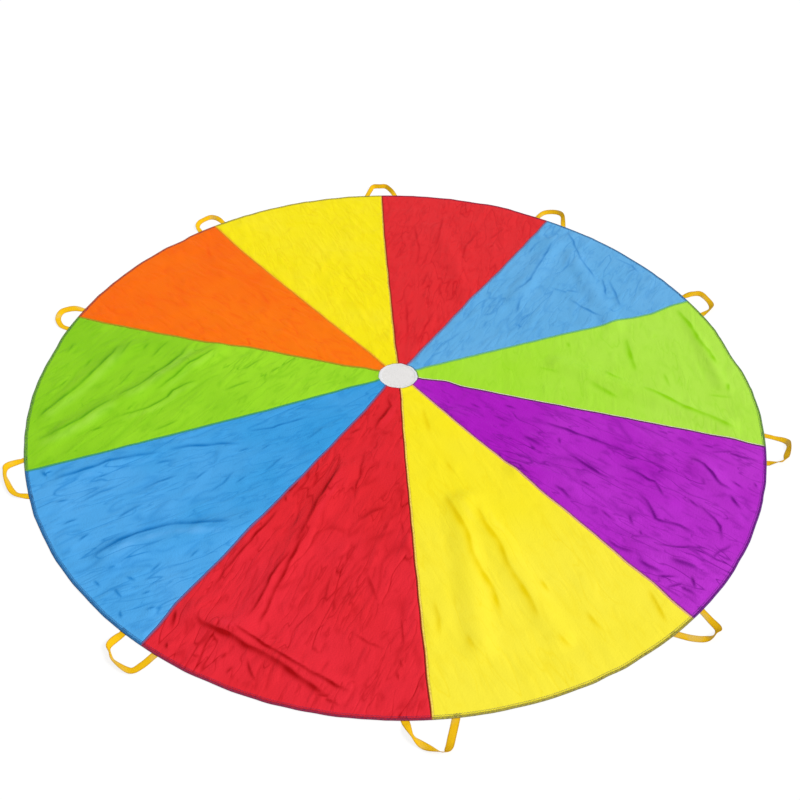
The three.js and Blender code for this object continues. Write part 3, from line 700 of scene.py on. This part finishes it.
def strip_piece(name, edges, lengths, widths, closed=False, angle=None):
    """A piece with one section all along, from the line that each corner of the section follows. Its UVs
    are in metres: along the strip, and across it by the corner's place in the section."""
    corners = len(edges)
    vertices = np.stack(edges, 1).reshape(-1, 3)
    piece = new_piece(name, vertices.tolist(), tube_faces(len(lengths), corners, closed))
    layer = piece.data.uv_layers.new(name="UVMap")
    index = np.zeros(len(piece.data.loops), int)
    piece.data.loops.foreach_get("vertex_index", index)
    uv = np.stack([np.asarray(lengths)[index // corners], np.asarray(widths)[index % corners]], -1)
    layer.data.foreach_set("uv", uv.astype(np.float32).ravel())
    outward(piece)
    smooth(piece, angle)
    return piece


def thread_piece(name, paths, radius, closed=False):
    """Thread along each path of points: a four-sided strand, laid as one piece."""
    vertices, faces = [], []
    start = 0
    for path in paths:
        path = np.asarray(path, float)
        if closed:
            ahead, behind = np.roll(path, -1, 0), np.roll(path, 1, 0)
        else:
            ahead, behind = np.vstack([path[1:], path[-1:]]), np.vstack([path[:1], path[:-1]])
        forward = ahead - behind
        forward /= np.maximum(np.linalg.norm(forward, axis=1, keepdims=True), 1e-9)
        side = np.cross(forward, [0, 0, 1.0])
        side /= np.maximum(np.linalg.norm(side, axis=1, keepdims=True), 1e-9)
        top = np.cross(side, forward)
        ring = [path + side * radius, path + top * radius, path - side * radius, path - top * radius]
        vertices.append(np.stack(ring, 1).reshape(-1, 3))
        faces += [tuple(start + v for v in face) for face in tube_faces(len(path), 4, closed)]
        start += 4 * len(path)
    piece = new_piece(name, np.vstack(vertices).tolist(), faces)
    outward(piece)
    smooth(piece)
    return piece


def in_and_out(count):
    """-1 and 1 in turn, for a zigzag of thread."""
    return np.arange(count) % 2 * 2 - 1


# Materials

class Graph:
    """Short ways to add nodes to a material, a node group or the world."""

    def __init__(self, tree):
        self.nodes = tree.nodes
        self.links = tree.links

    def node(self, kind, **settings):
        node = self.nodes.new("ShaderNode" + kind)
        for name, value in settings.items():
            setattr(node, name, value)
        return node

    def feed(self, socket, value):
        """Links a socket to another one, or sets it to a value."""
        if isinstance(value, bpy.types.NodeSocket):
            self.links.new(value, socket)
        else:
            socket.default_value = value

    def fill(self, sockets, *values):
        for socket, value in zip(sockets, values):
            self.feed(socket, value)

    def math(self, operation, *values):
        node = self.node("Math", operation=operation)
        self.fill(node.inputs, *values)
        return node.outputs[0]

    def mix(self, factor, a, b):
        """A colour between two."""
        node = self.node("Mix", data_type="RGBA")
        self.fill([s for s in node.inputs if s.enabled], factor, a, b)
        return next(s for s in node.outputs if s.enabled)

    def noise(self, place, scale, detail):
        node = self.node("TexNoise")
        self.fill([node.inputs[name] for name in ("Vector", "Scale", "Detail")], place, scale, detail)
        return node.outputs["Fac"]

    def spread(self, value, low, high, to_low, to_high):
        """A value's range brought to another one."""
        node = self.node("MapRange")
        self.fill(node.inputs, value, low, high, to_low, to_high)
        return node.outputs["Result"]

    def place(self):
        return self.node("TexCoord").outputs["Object"]

    def strip(self):
        """The place on a strip, and the distances along and across it."""
        place = self.node("UVMap").outputs["UV"]
        parts = self.node("SeparateXYZ")
        self.feed(parts.inputs["Vector"], place)
        return place, parts.outputs["X"], parts.outputs["Y"]

    def attribute(self, name, output):
        return self.node("Attribute", attribute_name=name).outputs[output]

    def bump(self, height, strength, distance):
        node = self.node("Bump")
        sockets = [node.inputs[name] for name in ("Height", "Strength", "Distance")]
        self.fill(sockets, height, strength, distance)
        return node.outputs["Normal"]

    def choose(self, factor, first, second):
        """One shader where the factor is 0, and another where it is 1."""
        node = self.node("MixShader")
        self.fill(node.inputs, factor, first, second)
        return node.outputs[0]


def new_group(name, takes, gives):
    """A node group that takes colours and numbers."""
    group = bpy.data.node_groups.new(name, "ShaderNodeTree")
    for label, value in takes.items():
        kind = "NodeSocketColor" if isinstance(value, tuple) else "NodeSocketFloat"
        socket = group.interface.new_socket(name=label, in_out="INPUT", socket_type=kind)
        socket.default_value = value
    for label, kind in gives.items():
        group.interface.new_socket(name=label, in_out="OUTPUT", socket_type="NodeSocket" + kind)
    given, out = group.nodes.new("NodeGroupInput"), group.nodes.new("NodeGroupOutput")
    return group, Graph(group), given.outputs, out.inputs


def crumple_nodes(graph, place, scale, thin):
    """Facets between thin valleys, where a soft noise passes its middle: their height, and the mask of the
    painted shade in the valleys."""
    gap = graph.math("ABSOLUTE", graph.math("SUBTRACT", graph.noise(place, scale, 1.5), 0.5))
    kept = graph.spread(graph.noise(place, 0.6 * scale, 1.0), 0.46, 0.6, 0.0, 1.0)
    valley = graph.math("MULTIPLY", graph.spread(gap, 0.0, thin, 1.0, 0.0), kept)
    return graph.math("MULTIPLY", gap, kept), valley


def taffeta_group():
    """Crumpled taffeta: its own tone with painted sheen and painted shade, a faint change of gloss, and the
    normal of its facets.
    """
    group, graph, given, out = new_group(
        "crinkled_taffeta",
        {"Colour": (0.8, 0.8, 0.8, 1), "Pale": (0.9, 0.9, 0.9, 1), "Dark": (0.5, 0.5, 0.5, 1),
         "Crinkle": 1.0, "Grain": 0.0, "Crease": 0.0, "Crest": 0.0},
        {"Colour": "Color", "Roughness": "Float", "Normal": "Vector"},
    )
    place = graph.place()
    turned = graph.node("VectorRotate", rotation_type="Z_AXIS")
    graph.feed(turned.inputs["Vector"], place)
    graph.feed(turned.inputs["Angle"], given["Grain"])
    drawn = graph.node("VectorMath", operation="MULTIPLY")
    graph.fill(drawn.inputs, turned.outputs["Vector"], (0.22, 1.0, 1.0))
    large, large_valley = crumple_nodes(graph, drawn.outputs[0], 14.0, 0.02)
    small, small_valley = crumple_nodes(graph, drawn.outputs[0], 36.0, 0.04)
    fine = graph.noise(place, 150.0, 2.0)
    weave = graph.noise(place, 2600.0, 1.0)

    facets = graph.math("MULTIPLY_ADD", small, 0.55, large)
    facets = graph.math("MULTIPLY_ADD", fine, 0.13, facets)
    facets = graph.math("MULTIPLY", facets, given["Crinkle"])
    facets = graph.math("MULTIPLY_ADD", weave, 0.008, facets)
    graph.feed(out["Normal"], graph.bump(facets, 1.0, 0.008))

    # Painted shade in the crumples' valleys and at the creases' feet, over the painted sheen and highlight.
    painted_valley_shade = graph.math("MULTIPLY_ADD", small_valley, 0.7, large_valley)
    painted_valley_shade = graph.math("MULTIPLY", graph.math("MULTIPLY", painted_valley_shade, 0.5), given["Crinkle"])
    painted_shade_amount = graph.math("MAXIMUM", painted_valley_shade, given["Crease"])
    with_painted_sheen = graph.mix(given["Crest"], given["Colour"], given["Pale"])
    graph.feed(out["Colour"], graph.mix(painted_shade_amount, with_painted_sheen, given["Dark"]))
    graph.feed(out["Roughness"], graph.spread(fine, 0.0, 1.0, 0.46, 0.62))
    return group


def overlock_group():
    """Close rows of thread over a folded cloth edge, along the piece's own strip."""
    group, graph, given, out = new_group(
        "overlocked_thread",
        {"Cloth": (0.8, 0.8, 0.8, 1), "Thread": NAVY, "Rows": 400.0, "Cover": 0.5},
        {"Colour": "Color", "Height": "Float"},
    )
    strip, along, across = graph.strip()
    leaned = graph.math("MULTIPLY_ADD", across, 0.35, along)
    rows = graph.math("FRACT", graph.math("MULTIPLY", leaned, given["Rows"]))
    wave = graph.math("SINE", graph.math("MULTIPLY", rows, math.pi))
    uneven = graph.math("SUBTRACT", graph.noise(strip, 160.0, 2.0), 0.5)
    level = graph.math("ADD", graph.math("MULTIPLY_ADD", uneven, 0.5, wave), given["Cover"])
    mask = graph.spread(level, 0.88, 1.12, 0.0, 1.0)
    graph.feed(out["Colour"], graph.mix(mask, given["Cloth"], given["Thread"]))
    graph.feed(out["Height"], graph.math("MULTIPLY", wave, mask))
    return group


def webbing_group():
    """Woven webbing: ribs across it, painted shade along both edges and a little fading, along the piece's
    own strip.
    """
    group, graph, given, out = new_group(
        "woven_webbing",
        {"Colour": WEBBING_GOLD, "Shade": WEBBING_SHADE, "Faded": WEBBING_FADED},
        {"Colour": "Color", "Height": "Float", "Roughness": "Float"},
    )
    strip, along, across = graph.strip()
    rib = graph.math("SINE", graph.math("MULTIPLY", along, 2 * math.pi / RIB_PITCH))
    ply = graph.math("SINE", graph.math("MULTIPLY", across, 2 * math.pi / PLY_PITCH))
    weave = graph.math("MULTIPLY", rib, ply)
    half = WEBBING_WIDTH / 2
    aside = graph.math("ABSOLUTE", graph.math("SUBTRACT", across, half))
    # Painted shade along both edges.
    painted_edge_shade = graph.spread(aside, half - 0.0050, half - 0.0005, 0.0, 0.8)
    cloudy = graph.noise(strip, 55.0, 3.0)
    shade = graph.math("MULTIPLY_ADD", cloudy, 0.3, graph.math("MULTIPLY_ADD", weave, -0.1, painted_edge_shade))
    faded = graph.spread(graph.noise(graph.place(), 16.0, 1.0), 0.55, 0.75, 0.0, 0.8)
    coloured = graph.mix(shade, given["Colour"], given["Shade"])
    graph.feed(out["Colour"], graph.mix(faded, coloured, given["Faded"]))
    graph.feed(out["Height"], weave)
    graph.feed(out["Roughness"], graph.math("MULTIPLY_ADD", cloudy, 0.2, 0.62))
    return group


TAFFETA = taffeta_group()
OVERLOCK = overlock_group()
WEBBING = webbing_group()


def new_material(name, specular, roughness=0.5):
    material = bpy.data.materials.new(name)
    material.use_nodes = True
    shader = material.node_tree.nodes["Principled BSDF"]
    shader.inputs["Specular IOR Level"].default_value = specular
    shader.inputs["Roughness"].default_value = roughness
    return material, Graph(material.node_tree), shader.inputs


def place_group(graph, group, **values):
    node = graph.node("Group", node_tree=group)
    for name, value in values.items():
        graph.feed(node.inputs[name], value)
    return node.outputs


def taffeta(cloth):
    material, graph, shader = new_material("taffeta" + cloth.node[4:], 0.1)
    # Dark is painted shade at the creases' feet and in valleys, and Pale is painted sheen and highlight on
    # lit slopes and towards the rim.
    look = place_group(graph, TAFFETA, Colour=linear(*cloth.tone), Pale=linear(*cloth.pale),
                       Dark=linear(*cloth.dark), Crinkle=cloth.crinkled, Grain=-math.radians(cloth.grain),
                       Crease=graph.attribute("painted_shade", "Fac"), Crest=graph.attribute("crest", "Fac"))
    graph.feed(shader["Base Color"], look["Colour"])
    graph.feed(shader["Roughness"], look["Roughness"])
    graph.feed(shader["Normal"], look["Normal"])
    return material


def overlocked(name, thread, rows, cover):
    """An overlocked edge whose cloth shows in the piece's own tint, which on the seams holds painted shade
    and a painted highlight.
    """
    material, graph, shader = new_material(name, 0.25, 0.75)
    edge = place_group(graph, OVERLOCK, Cloth=graph.attribute("tint", "Color"), Thread=thread, Rows=rows,
                       Cover=cover)
    graph.feed(shader["Base Color"], edge["Colour"])
    graph.feed(shader["Normal"], graph.bump(edge["Height"], 0.6, 0.0008))
    return material


def thread_material(name, colour):
    material, graph, shader = new_material(name, 0.3, 0.7)
    light = tuple(min(c * 1.5 + 0.01, 1.0) for c in colour[:3]) + (1.0,)
    twist = graph.noise(graph.place(), 900.0, 2.0)
    graph.feed(shader["Base Color"], graph.mix(twist, colour, light))
    return material


def webbing_material():
    material, graph, shader = new_material("golden_webbing", 0.15)
    woven = place_group(graph, WEBBING)
    graph.feed(shader["Base Color"], woven["Colour"])
    graph.feed(shader["Roughness"], woven["Roughness"])
    graph.feed(shader["Normal"], graph.bump(woven["Height"], 0.5, 0.0004))
    return material


def tape_material(name, colour, pitch):
    material, graph, shader = new_material(name, 0.2, 0.8)
    place = graph.place()
    dim = tuple(c * 0.82 for c in colour[:3]) + (1.0,)
    part = graph.math("MULTIPLY", graph.noise(place, 45.0, 3.0), 0.6)
    graph.feed(shader["Base Color"], graph.mix(part, colour, dim))
    graph.feed(shader["Normal"], graph.bump(graph.noise(place, 1 / pitch, 2.0), 0.4, 0.0006))
    return material


# Gores

def gore_rows(index):
    """The radii of a gore's rows of points, and each row's angles from seam to seam."""
    count = round((CLOTH_OUTER - CLOTH_INNER) / CLOTH_STEP)
    rows = []
    for radius in np.linspace(CLOTH_INNER, CLOTH_OUTER, count + 1):
        aside = math.asin(CLOTH_GAP / radius)
        start = float(wandering_angle(index, radius)) - aside
        end = float(wandering_angle(index + 1, radius)) + aside
        steps = max(6, round(radius * 2 * math.pi / GORES / CLOTH_STEP))
        rows.append((radius, np.linspace(start, end, steps + 1)))
    return rows


def make_gore(index):
    cloth = CLOTHS[index]
    rows = gore_rows(index)
    radius = np.concatenate([np.full(len(angles), r) for r, angles in rows])
    angle = np.concatenate([angles for _, angles in rows])
    x, y = on_plan(radius, angle)
    z, dark, pale = gore_top(index, x, y)
    faces, numbered, start = [], [], 0
    for _, angles in rows:
        numbered.append(list(range(start, start + len(angles))))
        start += len(angles)
    for near, far in zip(numbered[:-1], numbered[1:]):
        faces += zip_rows(near, far)
    piece = new_piece("cloth" + cloth.node[4:], np.stack([x, y, z], -1).tolist(), faces)
    # Painted shade at the creases' feet and in the valleys, and painted sheen and highlight on lit slopes
    # and towards the rim.
    point_attribute(piece, "painted_shade", dark)
    point_attribute(piece, "crest", pale)
    if piece.data.polygons[0].normal.z < 0:
        piece.data.flip_normals()
    wall = piece.modifiers.new("thickness", "SOLIDIFY")
    wall.thickness = SHOWN_THICKNESS
    wall.offset = -1
    apply_modifiers(piece)
    smooth(piece)
    sew_to_canopy(piece, taffeta(cloth), "cloth" + cloth.node[7:], cloth.node)


# Seams: a folded edge sewn down, steep on one side

def seam_place(index, radii, across, up):
    """Places by a seam: along it in metres, anticlockwise of it and up from the cloth in millimetres."""
    angle = wandering_angle(index, radii)
    x, y = on_plan(radii, angle)
    x, y = x - np.sin(angle) * across * MM, y + np.cos(angle) * across * MM
    return np.stack([x, y, lie(x, y) + CLOTH_THICKNESS + up * MM], -1)


def make_seam(index):
    number = f"{index + 1:02d}"
    near, crest, far, thread_colour = [linear(*colour) for colour in SEAM_LOOKS[index]]
    radii = np.arange(CLOTH_INNER - 0.001, CLOTH_OUTER + 0.0012, 0.004)
    profile = [(-6.2, -0.3), (-5.0, 0.4), (-3.6, 1.1), (-1.8, 1.5), (0.0, 1.4), (1.4, 1.2), (3.8, 0.8),
               (6.2, 0.1), (3.0, -1.0), (-3.0, -1.0)]
    swell = 1 + 0.25 * noise_along(radii / 0.02, 61, index)
    edges = [seam_place(index, radii, across, up * (swell if up > 0 else 1)) for across, up in profile]
    piece = strip_piece("sewn_seam_" + number, edges, radii, [(across + 6) * MM for across, _ in profile])
    # The tints beside the crest carry painted shade on the fold's dark side and a painted highlight on its
    # pale edge.
    tints = [near if across < -1 else crest if across < 1 else far for across, _ in profile]
    colour_attribute(piece, "tint", np.tile(np.array(tints), (len(radii), 1)))
    edge = overlocked("seam_edge_" + number, thread_colour, 330.0, 0.06)
    sew_to_canopy(piece, edge, "seam_thread", "seam_" + number)

    crossings = np.arange(CLOTH_INNER, CLOTH_OUTER, SEAM_STITCH)
    outer = in_and_out(len(crossings)) < 0
    strand = seam_place(index, crossings, np.where(outer, -5.4, -0.4), np.where(outer, 0.4, 1.6))
    thread = thread_piece("seam_thread_" + number, [strand], SEAM_THREAD)
    sew_to_canopy(thread, thread_material("seam_thread_" + number, thread_colour), "seam_thread")


# Hem

def hem_place(angle, out, up):
    """Places on the hem: out from its inner edge and up from its underside, in metres."""
    x, y = on_plan(HEM_INNER + out, angle)
    inner_x, inner_y = on_plan(HEM_INNER, angle)
    return np.stack([x, y, lie(inner_x, inner_y) + up], -1)


def make_hem_edge():
    """The folded edge. Each corner of its section has its place out and up in millimetres, and how much
    of its cloth the navy thread hides."""
    count = 1900
    angle = np.linspace(0, 2 * math.pi, count, endpoint=False)
    profile = [(-0.8, 0.9, 0.05), (-0.2, 1.9, 0.05), (1.6, 2.45, 0.1), (4.0, 2.4, 0.3), (6.0, 1.9, 0.6),
               (7.0, 1.1, 0.7), (6.5, 0.2, 0.6), (5.0, -0.1, 0.3), (0.0, -0.05, 0.1)]
    around = angle * CANOPY_RADIUS
    swell = 1 + 0.12 * noise_along(around / 0.018, 71)
    sway = 1 + 0.06 * noise_along(around / 0.03, 72, 3)
    colours = np.array([linear(*cloth.tone) for cloth in CLOTHS])[gore_at(angle)]
    edges, tints = [], []
    for out, up, hidden in profile:
        edges.append(hem_place(angle, np.minimum(out * sway, 7.2) * MM, up * MM * swell))
        tints.append(colours * (1 - hidden) + np.array(NAVY) * hidden)
    piece = strip_piece("hem_edge", edges, around, [out * MM for out, _, _ in profile], closed=True)
    colour_attribute(piece, "tint", np.stack(tints, 1).reshape(-1, 4))
    sew_to_canopy(piece, overlocked("hem_overlock", NAVY, 300.0, 0.1), "hem_thread", "hem")


def make_hem_thread():
    """The overlock's thread, once over and under the edge at each crossing."""
    crossings = round(2 * math.pi * CANOPY_RADIUS / HEM_OVERLOCK)
    zigzag = [(0, -3.6, 0.0), (0.15, -0.6, 2.3), (0.3, 2.2, 2.85), (0.5, 6.3, 2.1), (0.7, 2.2, 2.8),
              (0.85, -0.6, 2.25)]
    path = np.array([(k + part, out, up) for k in range(crossings) for part, out, up in zigzag])
    strand = hem_place(path[:, 0] * 2 * math.pi / crossings, path[:, 1] * MM, path[:, 2] * MM)
    inner = path[:, 1] < -3
    strand[inner, 2] = cloth_height(strand[inner, 0], strand[inner, 1])
    thread = thread_piece("hem_thread", [strand], HEM_OVERLOCK_THREAD, closed=True)
    sew_to_canopy(thread, THREAD_NAVY, "hem_thread")


def make_hem_stitches():
    """A row of stitches on the cloth, inside the hem."""
    count = 2 * round(math.pi * 1.51 / HEM_STITCH)
    turn = np.arange(count) * 2 * math.pi / count
    x, y = on_plan(HEM_INNER - 0.0058 + 0.0011 * in_and_out(count), turn)
    row = np.stack([x, y, cloth_height(x, y) + 0.0003], -1)
    thread = thread_piece("hem_stitches", [row], HEM_STITCH_THREAD, closed=True)
    sew_to_canopy(thread, THREAD_NAVY, "hem_thread")


# Hand loops

def catmull(points, steps):
    """A smooth line through points, with even steps between each two."""
    points = np.asarray(points, float)
    padded = np.vstack([2 * points[0] - points[1], points, 2 * points[-1] - points[-2]])
    line = []
    for k in range(len(points) - 1):
        a, b, c, d = padded[k:k + 4]
        for t in np.arange(steps) / steps:
            bend = (2 * a - 5 * b + 4 * c - d) * t ** 2 + (3 * b - a - 3 * c + d) * t ** 3
            line.append(0.5 * (2 * b + (c - a) * t + bend))
    line.append(points[-1])
    return np.array(line)


def beside_hem(index, along, out, up):
    """Places by a hand loop: along the hem clockwise, out from its hinge line, and up, in metres."""
    middle = loop_middle(index)
    away = np.array([math.cos(middle), math.sin(middle)])
    clockwise = np.array([away[1], -away[0]])
    reach = CANOPY_RADIUS + HINGE_OUT + np.asarray(out)
    plan = reach[:, None] * away + np.asarray(along)[:, None] * clockwise
    return np.column_stack([plan, np.broadcast_to(up, len(plan))])


def loop_stops(index):
    """A hand loop's points from one sewn end to the other: distance along the hem, distance out, roll."""
    _, span, route = LOOP_LAYS[index]
    inner = -SEWN_LENGTH / MM
    ends = []
    for corner, (along, out, _) in ((-span / 2, route[0]), (span / 2, route[-1])):
        drift = (along - corner) / out * inner
        ends.append([(corner + 0.9 * drift, inner, 0), (corner + 0.45 * drift, inner / 2, 0),
                     (corner, 0.15, 0)])
    return ends[0] + route + ends[1][::-1]


def make_loop(index, webbing):
    number = f"{index + 1:02d}"
    stops = loop_stops(index)
    steps = 10
    line = catmull(stops, steps)
    place = line[:, :2] * MM
    free = np.ones(len(line))
    free[:2 * steps + 2] = 0
    free[(len(stops) - 3) * steps - 1:] = 0
    roll = np.clip(np.radians(line[:, 2]), 0, math.radians(88)) * free
    forward = np.gradient(place, axis=0)
    forward /= np.linalg.norm(forward, axis=1, keepdims=True)
    flat = np.column_stack([-forward[:, 1], forward[:, 0]])
    travelled = np.concatenate([[0], np.cumsum(np.linalg.norm(np.diff(place, axis=0), axis=1))])
    half_section = [(-0.5, 0.0), (-0.485, 0.4), (-0.42, 0.5), (0.0, 0.5), (0.42, 0.5), (0.485, 0.4)]
    section = half_section + [(-side, -face) for side, face in half_section]
    rise = (WEBBING_WIDTH * np.abs(np.sin(roll)) + WEBBING_THICKNESS * np.abs(np.cos(roll))) / 2
    buckle = 0.0006 * noise_along(travelled / 0.03, 81, index) * free
    edges = []
    for side, face in section:
        through = WEBBING_THICKNESS * 0.92 * face
        bow = (0.25 - side * side) * buckle * 4
        shift = side * WEBBING_WIDTH * np.cos(roll) - (through + bow) * np.sin(roll)
        up = rise + side * WEBBING_WIDTH * np.sin(roll) + (through + np.abs(bow)) * np.cos(roll)
        corner = place + flat * shift[:, None]
        edges.append(beside_hem(index, corner[:, 0], corner[:, 1], up))
    widths = [(side + 0.5) * WEBBING_WIDTH for side, _ in section]
    piece = strip_piece("hand_loop_" + number, edges, travelled, widths, angle=50)
    piece.data.materials.append(webbing)
    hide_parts(f"handle_{number}_loop", f"handle_{number}_end_a", f"handle_{number}_end_b")
    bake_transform(piece)


def make_loop_stitches(index):
    """Two rows of close stitches across each end of a hand loop, beside the hem."""
    stops = loop_stops(index)
    across = np.arange(-11.5, 11.6, LOOP_STITCH / MM)
    paths = []
    for corner, end in ((stops[2], stops[0]), (stops[-3], stops[-1])):
        lean = (end[0] - corner[0]) / (end[1] - corner[1])
        for row in (-12.5, -15.5):
            out = (row + 1.1 * in_and_out(len(across))) * MM
            path = beside_hem(index, (corner[0] + across) * MM + lean * out, out, 0.0)
            path[:, 2] = cloth_height(path[:, 0], path[:, 1]) + 0.0002
            paths.append(path)
    piece = thread_piece(f"loop_stitches_{index + 1:02d}", paths, LOOP_THREAD)
    sew_to_canopy(piece, THREAD_NAVY, "hem_thread")


# Vent

def repeat(piece, count, offset):
    copies = piece.modifiers.new("copies", "ARRAY")
    copies.count = count
    copies.use_relative_offset = False
    copies.use_constant_offset = True
    copies.constant_offset_displace = offset


def make_net():
    """Knitted mesh of six-sided gaps: one ring of strands, repeated, cut round and given its thickness."""
    bpy.ops.mesh.primitive_circle_add(vertices=6, radius=NET_PITCH / math.sqrt(3), fill_type="NGON")
    net = bpy.context.object
    net.name = "vent_mesh"
    row_pitch = NET_PITCH * math.sqrt(3)
    rows = math.ceil(NET_RADIUS / NET_PITCH / math.sqrt(3) * 2) + 1
    columns = math.ceil(NET_RADIUS / NET_PITCH) + 1
    repeat(net, 2, (NET_PITCH / 2, row_pitch / 2, 0))
    repeat(net, 2 * columns, (NET_PITCH, 0, 0))
    repeat(net, rows, (0, row_pitch, 0))
    apply_modifiers(net)
    net.data.transform(Matrix.Translation((-columns * NET_PITCH, -(rows - 0.5) * row_pitch / 2, 0)))
    bpy.ops.object.mode_set(mode="EDIT")
    bpy.ops.mesh.select_all(action="SELECT")
    bpy.ops.mesh.remove_doubles(threshold=0.0003)
    bpy.ops.mesh.select_mode(type="FACE")
    bpy.ops.mesh.select_all(action="DESELECT")
    bpy.ops.object.mode_set(mode="OBJECT")
    for face in net.data.polygons:
        face.select = face.center.xy.length > NET_RADIUS + NET_PITCH * 0.3
    bpy.ops.object.mode_set(mode="EDIT")
    bpy.ops.mesh.delete(type="FACE")
    bpy.ops.object.mode_set(mode="OBJECT")
    place = vertex_places(net)
    far = np.hypot(place[:, 0], place[:, 1])
    place[:, :2] *= np.minimum(1, NET_RADIUS / np.maximum(far, 1e-6))[:, None]
    place[:, 2] = 0.0009 + 0.0006 * (gradient_noise(place[:, 0] / 0.03, place[:, 1] / 0.03, 91) + 0.5)
    place_vertices(net, place)
    strands = net.modifiers.new("strands", "WIREFRAME")
    strands.thickness = 0.0015
    strands.use_even_offset = False
    strands.use_boundary = True
    apply_modifiers(net)
    smooth(net, 60)
    sew_to_canopy(net, tape_material("net_white", NET_WHITE, 0.0012), "vent_net", "vent_net")
    return net


def make_tape():
    """Woven tape round the vent: a ring pressed flat, a little puckered by its stitches."""
    bpy.ops.mesh.primitive_torus_add(major_radius=NET_RADIUS - 0.001, minor_radius=0.0075,
                                     major_segments=240, minor_segments=14)
    tape = bpy.context.object
    tape.name = "vent_tape"
    bpy.ops.object.mode_set(mode="EDIT")
    bpy.ops.mesh.select_all(action="SELECT")
    bpy.ops.transform.resize(value=(1, 1, 0.15))
    bpy.ops.transform.translate(value=(0, 0, 0.0013))
    bpy.ops.object.mode_set(mode="OBJECT")
    place = vertex_places(tape)
    turn = np.arctan2(place[:, 1], place[:, 0])
    place[:, 2] *= 1 + 0.12 * gradient_noise(turn * 14, np.hypot(place[:, 0], place[:, 1]) / 0.01, 96)
    place_vertices(tape, place)
    smooth(tape)
    sew_to_canopy(tape, tape_material("tape_white", WHITE_TAPE, 0.0015), "vent_binding", "vent_binding")
    return tape


def make_vent_stitches():
    """The thread that holds the cloth's inner edge to the tape."""
    crossings = 2 * round(math.pi * VENT_RADIUS / VENT_STITCH)
    turns = np.arange(crossings) * 2 * math.pi / crossings
    inner = in_and_out(crossings) < 0
    reach = vent_edge(turns) + np.where(inner, -0.0008, 0.0032)
    x, y = reach * np.cos(turns), reach * np.sin(turns)
    z = lie(x, y) + CLOTH_THICKNESS + np.where(inner, -0.0004, 0.0003)
    thread = thread_piece("vent_stitches", [np.stack([x, y, z], -1)], VENT_THREAD, closed=True)
    sew_to_canopy(thread, THREAD_NAVY, "hem_thread")


def make_vent():
    net = make_net()
    tape = make_tape()
    make_vent_stitches()


# Studio

def make_camera():
    ahead = Vector((0, math.cos(CAMERA_PITCH), -math.sin(CAMERA_PITCH)))
    upright = Vector((0, math.sin(CAMERA_PITCH), math.cos(CAMERA_PITCH)))
    level = Vector((1, 0, 0))
    right = level * math.cos(CAMERA_ROLL) + upright * math.sin(CAMERA_ROLL)
    up = upright * math.cos(CAMERA_ROLL) - level * math.sin(CAMERA_ROLL)
    data = bpy.data.cameras.new("camera")
    data.sensor_width = 36.0
    data.lens = CAMERA_LENS
    data.clip_end = 200
    camera = bpy.data.objects.new("camera", data)
    bpy.context.scene.collection.objects.link(camera)
    turned = Matrix((right, up, -ahead)).transposed().to_4x4()
    camera.matrix_world = Matrix.Translation(CAMERA_PLACE) @ turned
    bpy.context.scene.camera = camera


def seen_by(graph, *kinds):
    """1 for rays of these kinds, and 0 for light that falls on the object."""
    path = graph.node("LightPath")
    seen = path.outputs[kinds[0]]
    for kind in kinds[1:]:
        seen = graph.math("MAXIMUM", seen, path.outputs[kind])
    return seen


def make_floor():
    """A floor that looks near white to the camera, and bounces a little less light onto the object."""
    bpy.ops.mesh.primitive_plane_add(size=60, location=(0, 0, 0))
    floor = bpy.context.object
    floor.name = "studio_floor"
    floor.data.transform(Matrix.Translation((0, 0, -0.0002)))
    material, graph, shader = new_material("pale_floor", 0.0, 1.0)
    shader["Base Color"].default_value = (0.2, 0.2, 0.2, 1)
    glow = graph.node("Emission")
    glow.inputs["Strength"].default_value = FLOOR_GLOW
    both = graph.node("AddShader")
    graph.fill(both.inputs, graph.nodes["Principled BSDF"].outputs[0], glow.outputs[0])
    bounce = graph.node("BsdfDiffuse")
    bounce.inputs["Color"].default_value = (0.8, 0.8, 0.8, 1)
    seen = seen_by(graph, "Is Camera Ray", "Is Glossy Ray", "Is Transmission Ray")
    look = graph.choose(seen, bounce.outputs[0], both.outputs[0])
    graph.feed(graph.nodes["Material Output"].inputs["Surface"], look)
    floor.data.materials.append(material)
    return floor


def make_surroundings():
    """White all round: its full strength to the camera, and less as a fill light."""
    world = bpy.data.worlds.new("studio")
    bpy.context.scene.world = world
    world.use_nodes = True
    graph = Graph(world.node_tree)
    fill = graph.nodes["Background"]
    plain = graph.node("Background")
    graph.fill(fill.inputs, (1, 1, 1, 1), FILL_STRENGTH)
    graph.fill(plain.inputs, (1, 1, 1, 1), 1.0)
    seen = seen_by(graph, "Is Camera Ray", "Is Transmission Ray")
    look = graph.choose(seen, fill.outputs[0], plain.outputs[0])
    graph.feed(graph.nodes["World Output"].inputs["Surface"], look)


def make_key_light():
    elevation = math.radians(KEY_ELEVATION)
    level = LIGHT_FROM * math.cos(elevation)
    toward = Vector((level[0], level[1], math.sin(elevation)))
    lamp = bpy.data.lights.new("key", "SUN")
    lamp.energy = KEY_STRENGTH * math.pi / math.sin(elevation)
    lamp.angle = math.radians(KEY_SOFTNESS)
    key = bpy.data.objects.new("key", lamp)
    bpy.context.scene.collection.objects.link(key)
    key.rotation_mode = "QUATERNION"
    key.rotation_quaternion = (-toward).to_track_quat("-Z", "Y")


make_camera()
THREAD_NAVY = thread_material("navy_thread", NAVY)
studio_floor = make_floor()
make_surroundings()
make_key_light()
for gore in range(GORES):
    make_gore(gore)
for seam in range(GORES):
    make_seam(seam)
make_hem_edge()
make_hem_thread()
make_hem_stitches()
golden_webbing = webbing_material()
for handle in range(GORES):
    make_loop(handle, golden_webbing)
    make_loop_stitches(handle)
make_vent()

bpy.context.scene.view_settings.view_transform = "Standard"
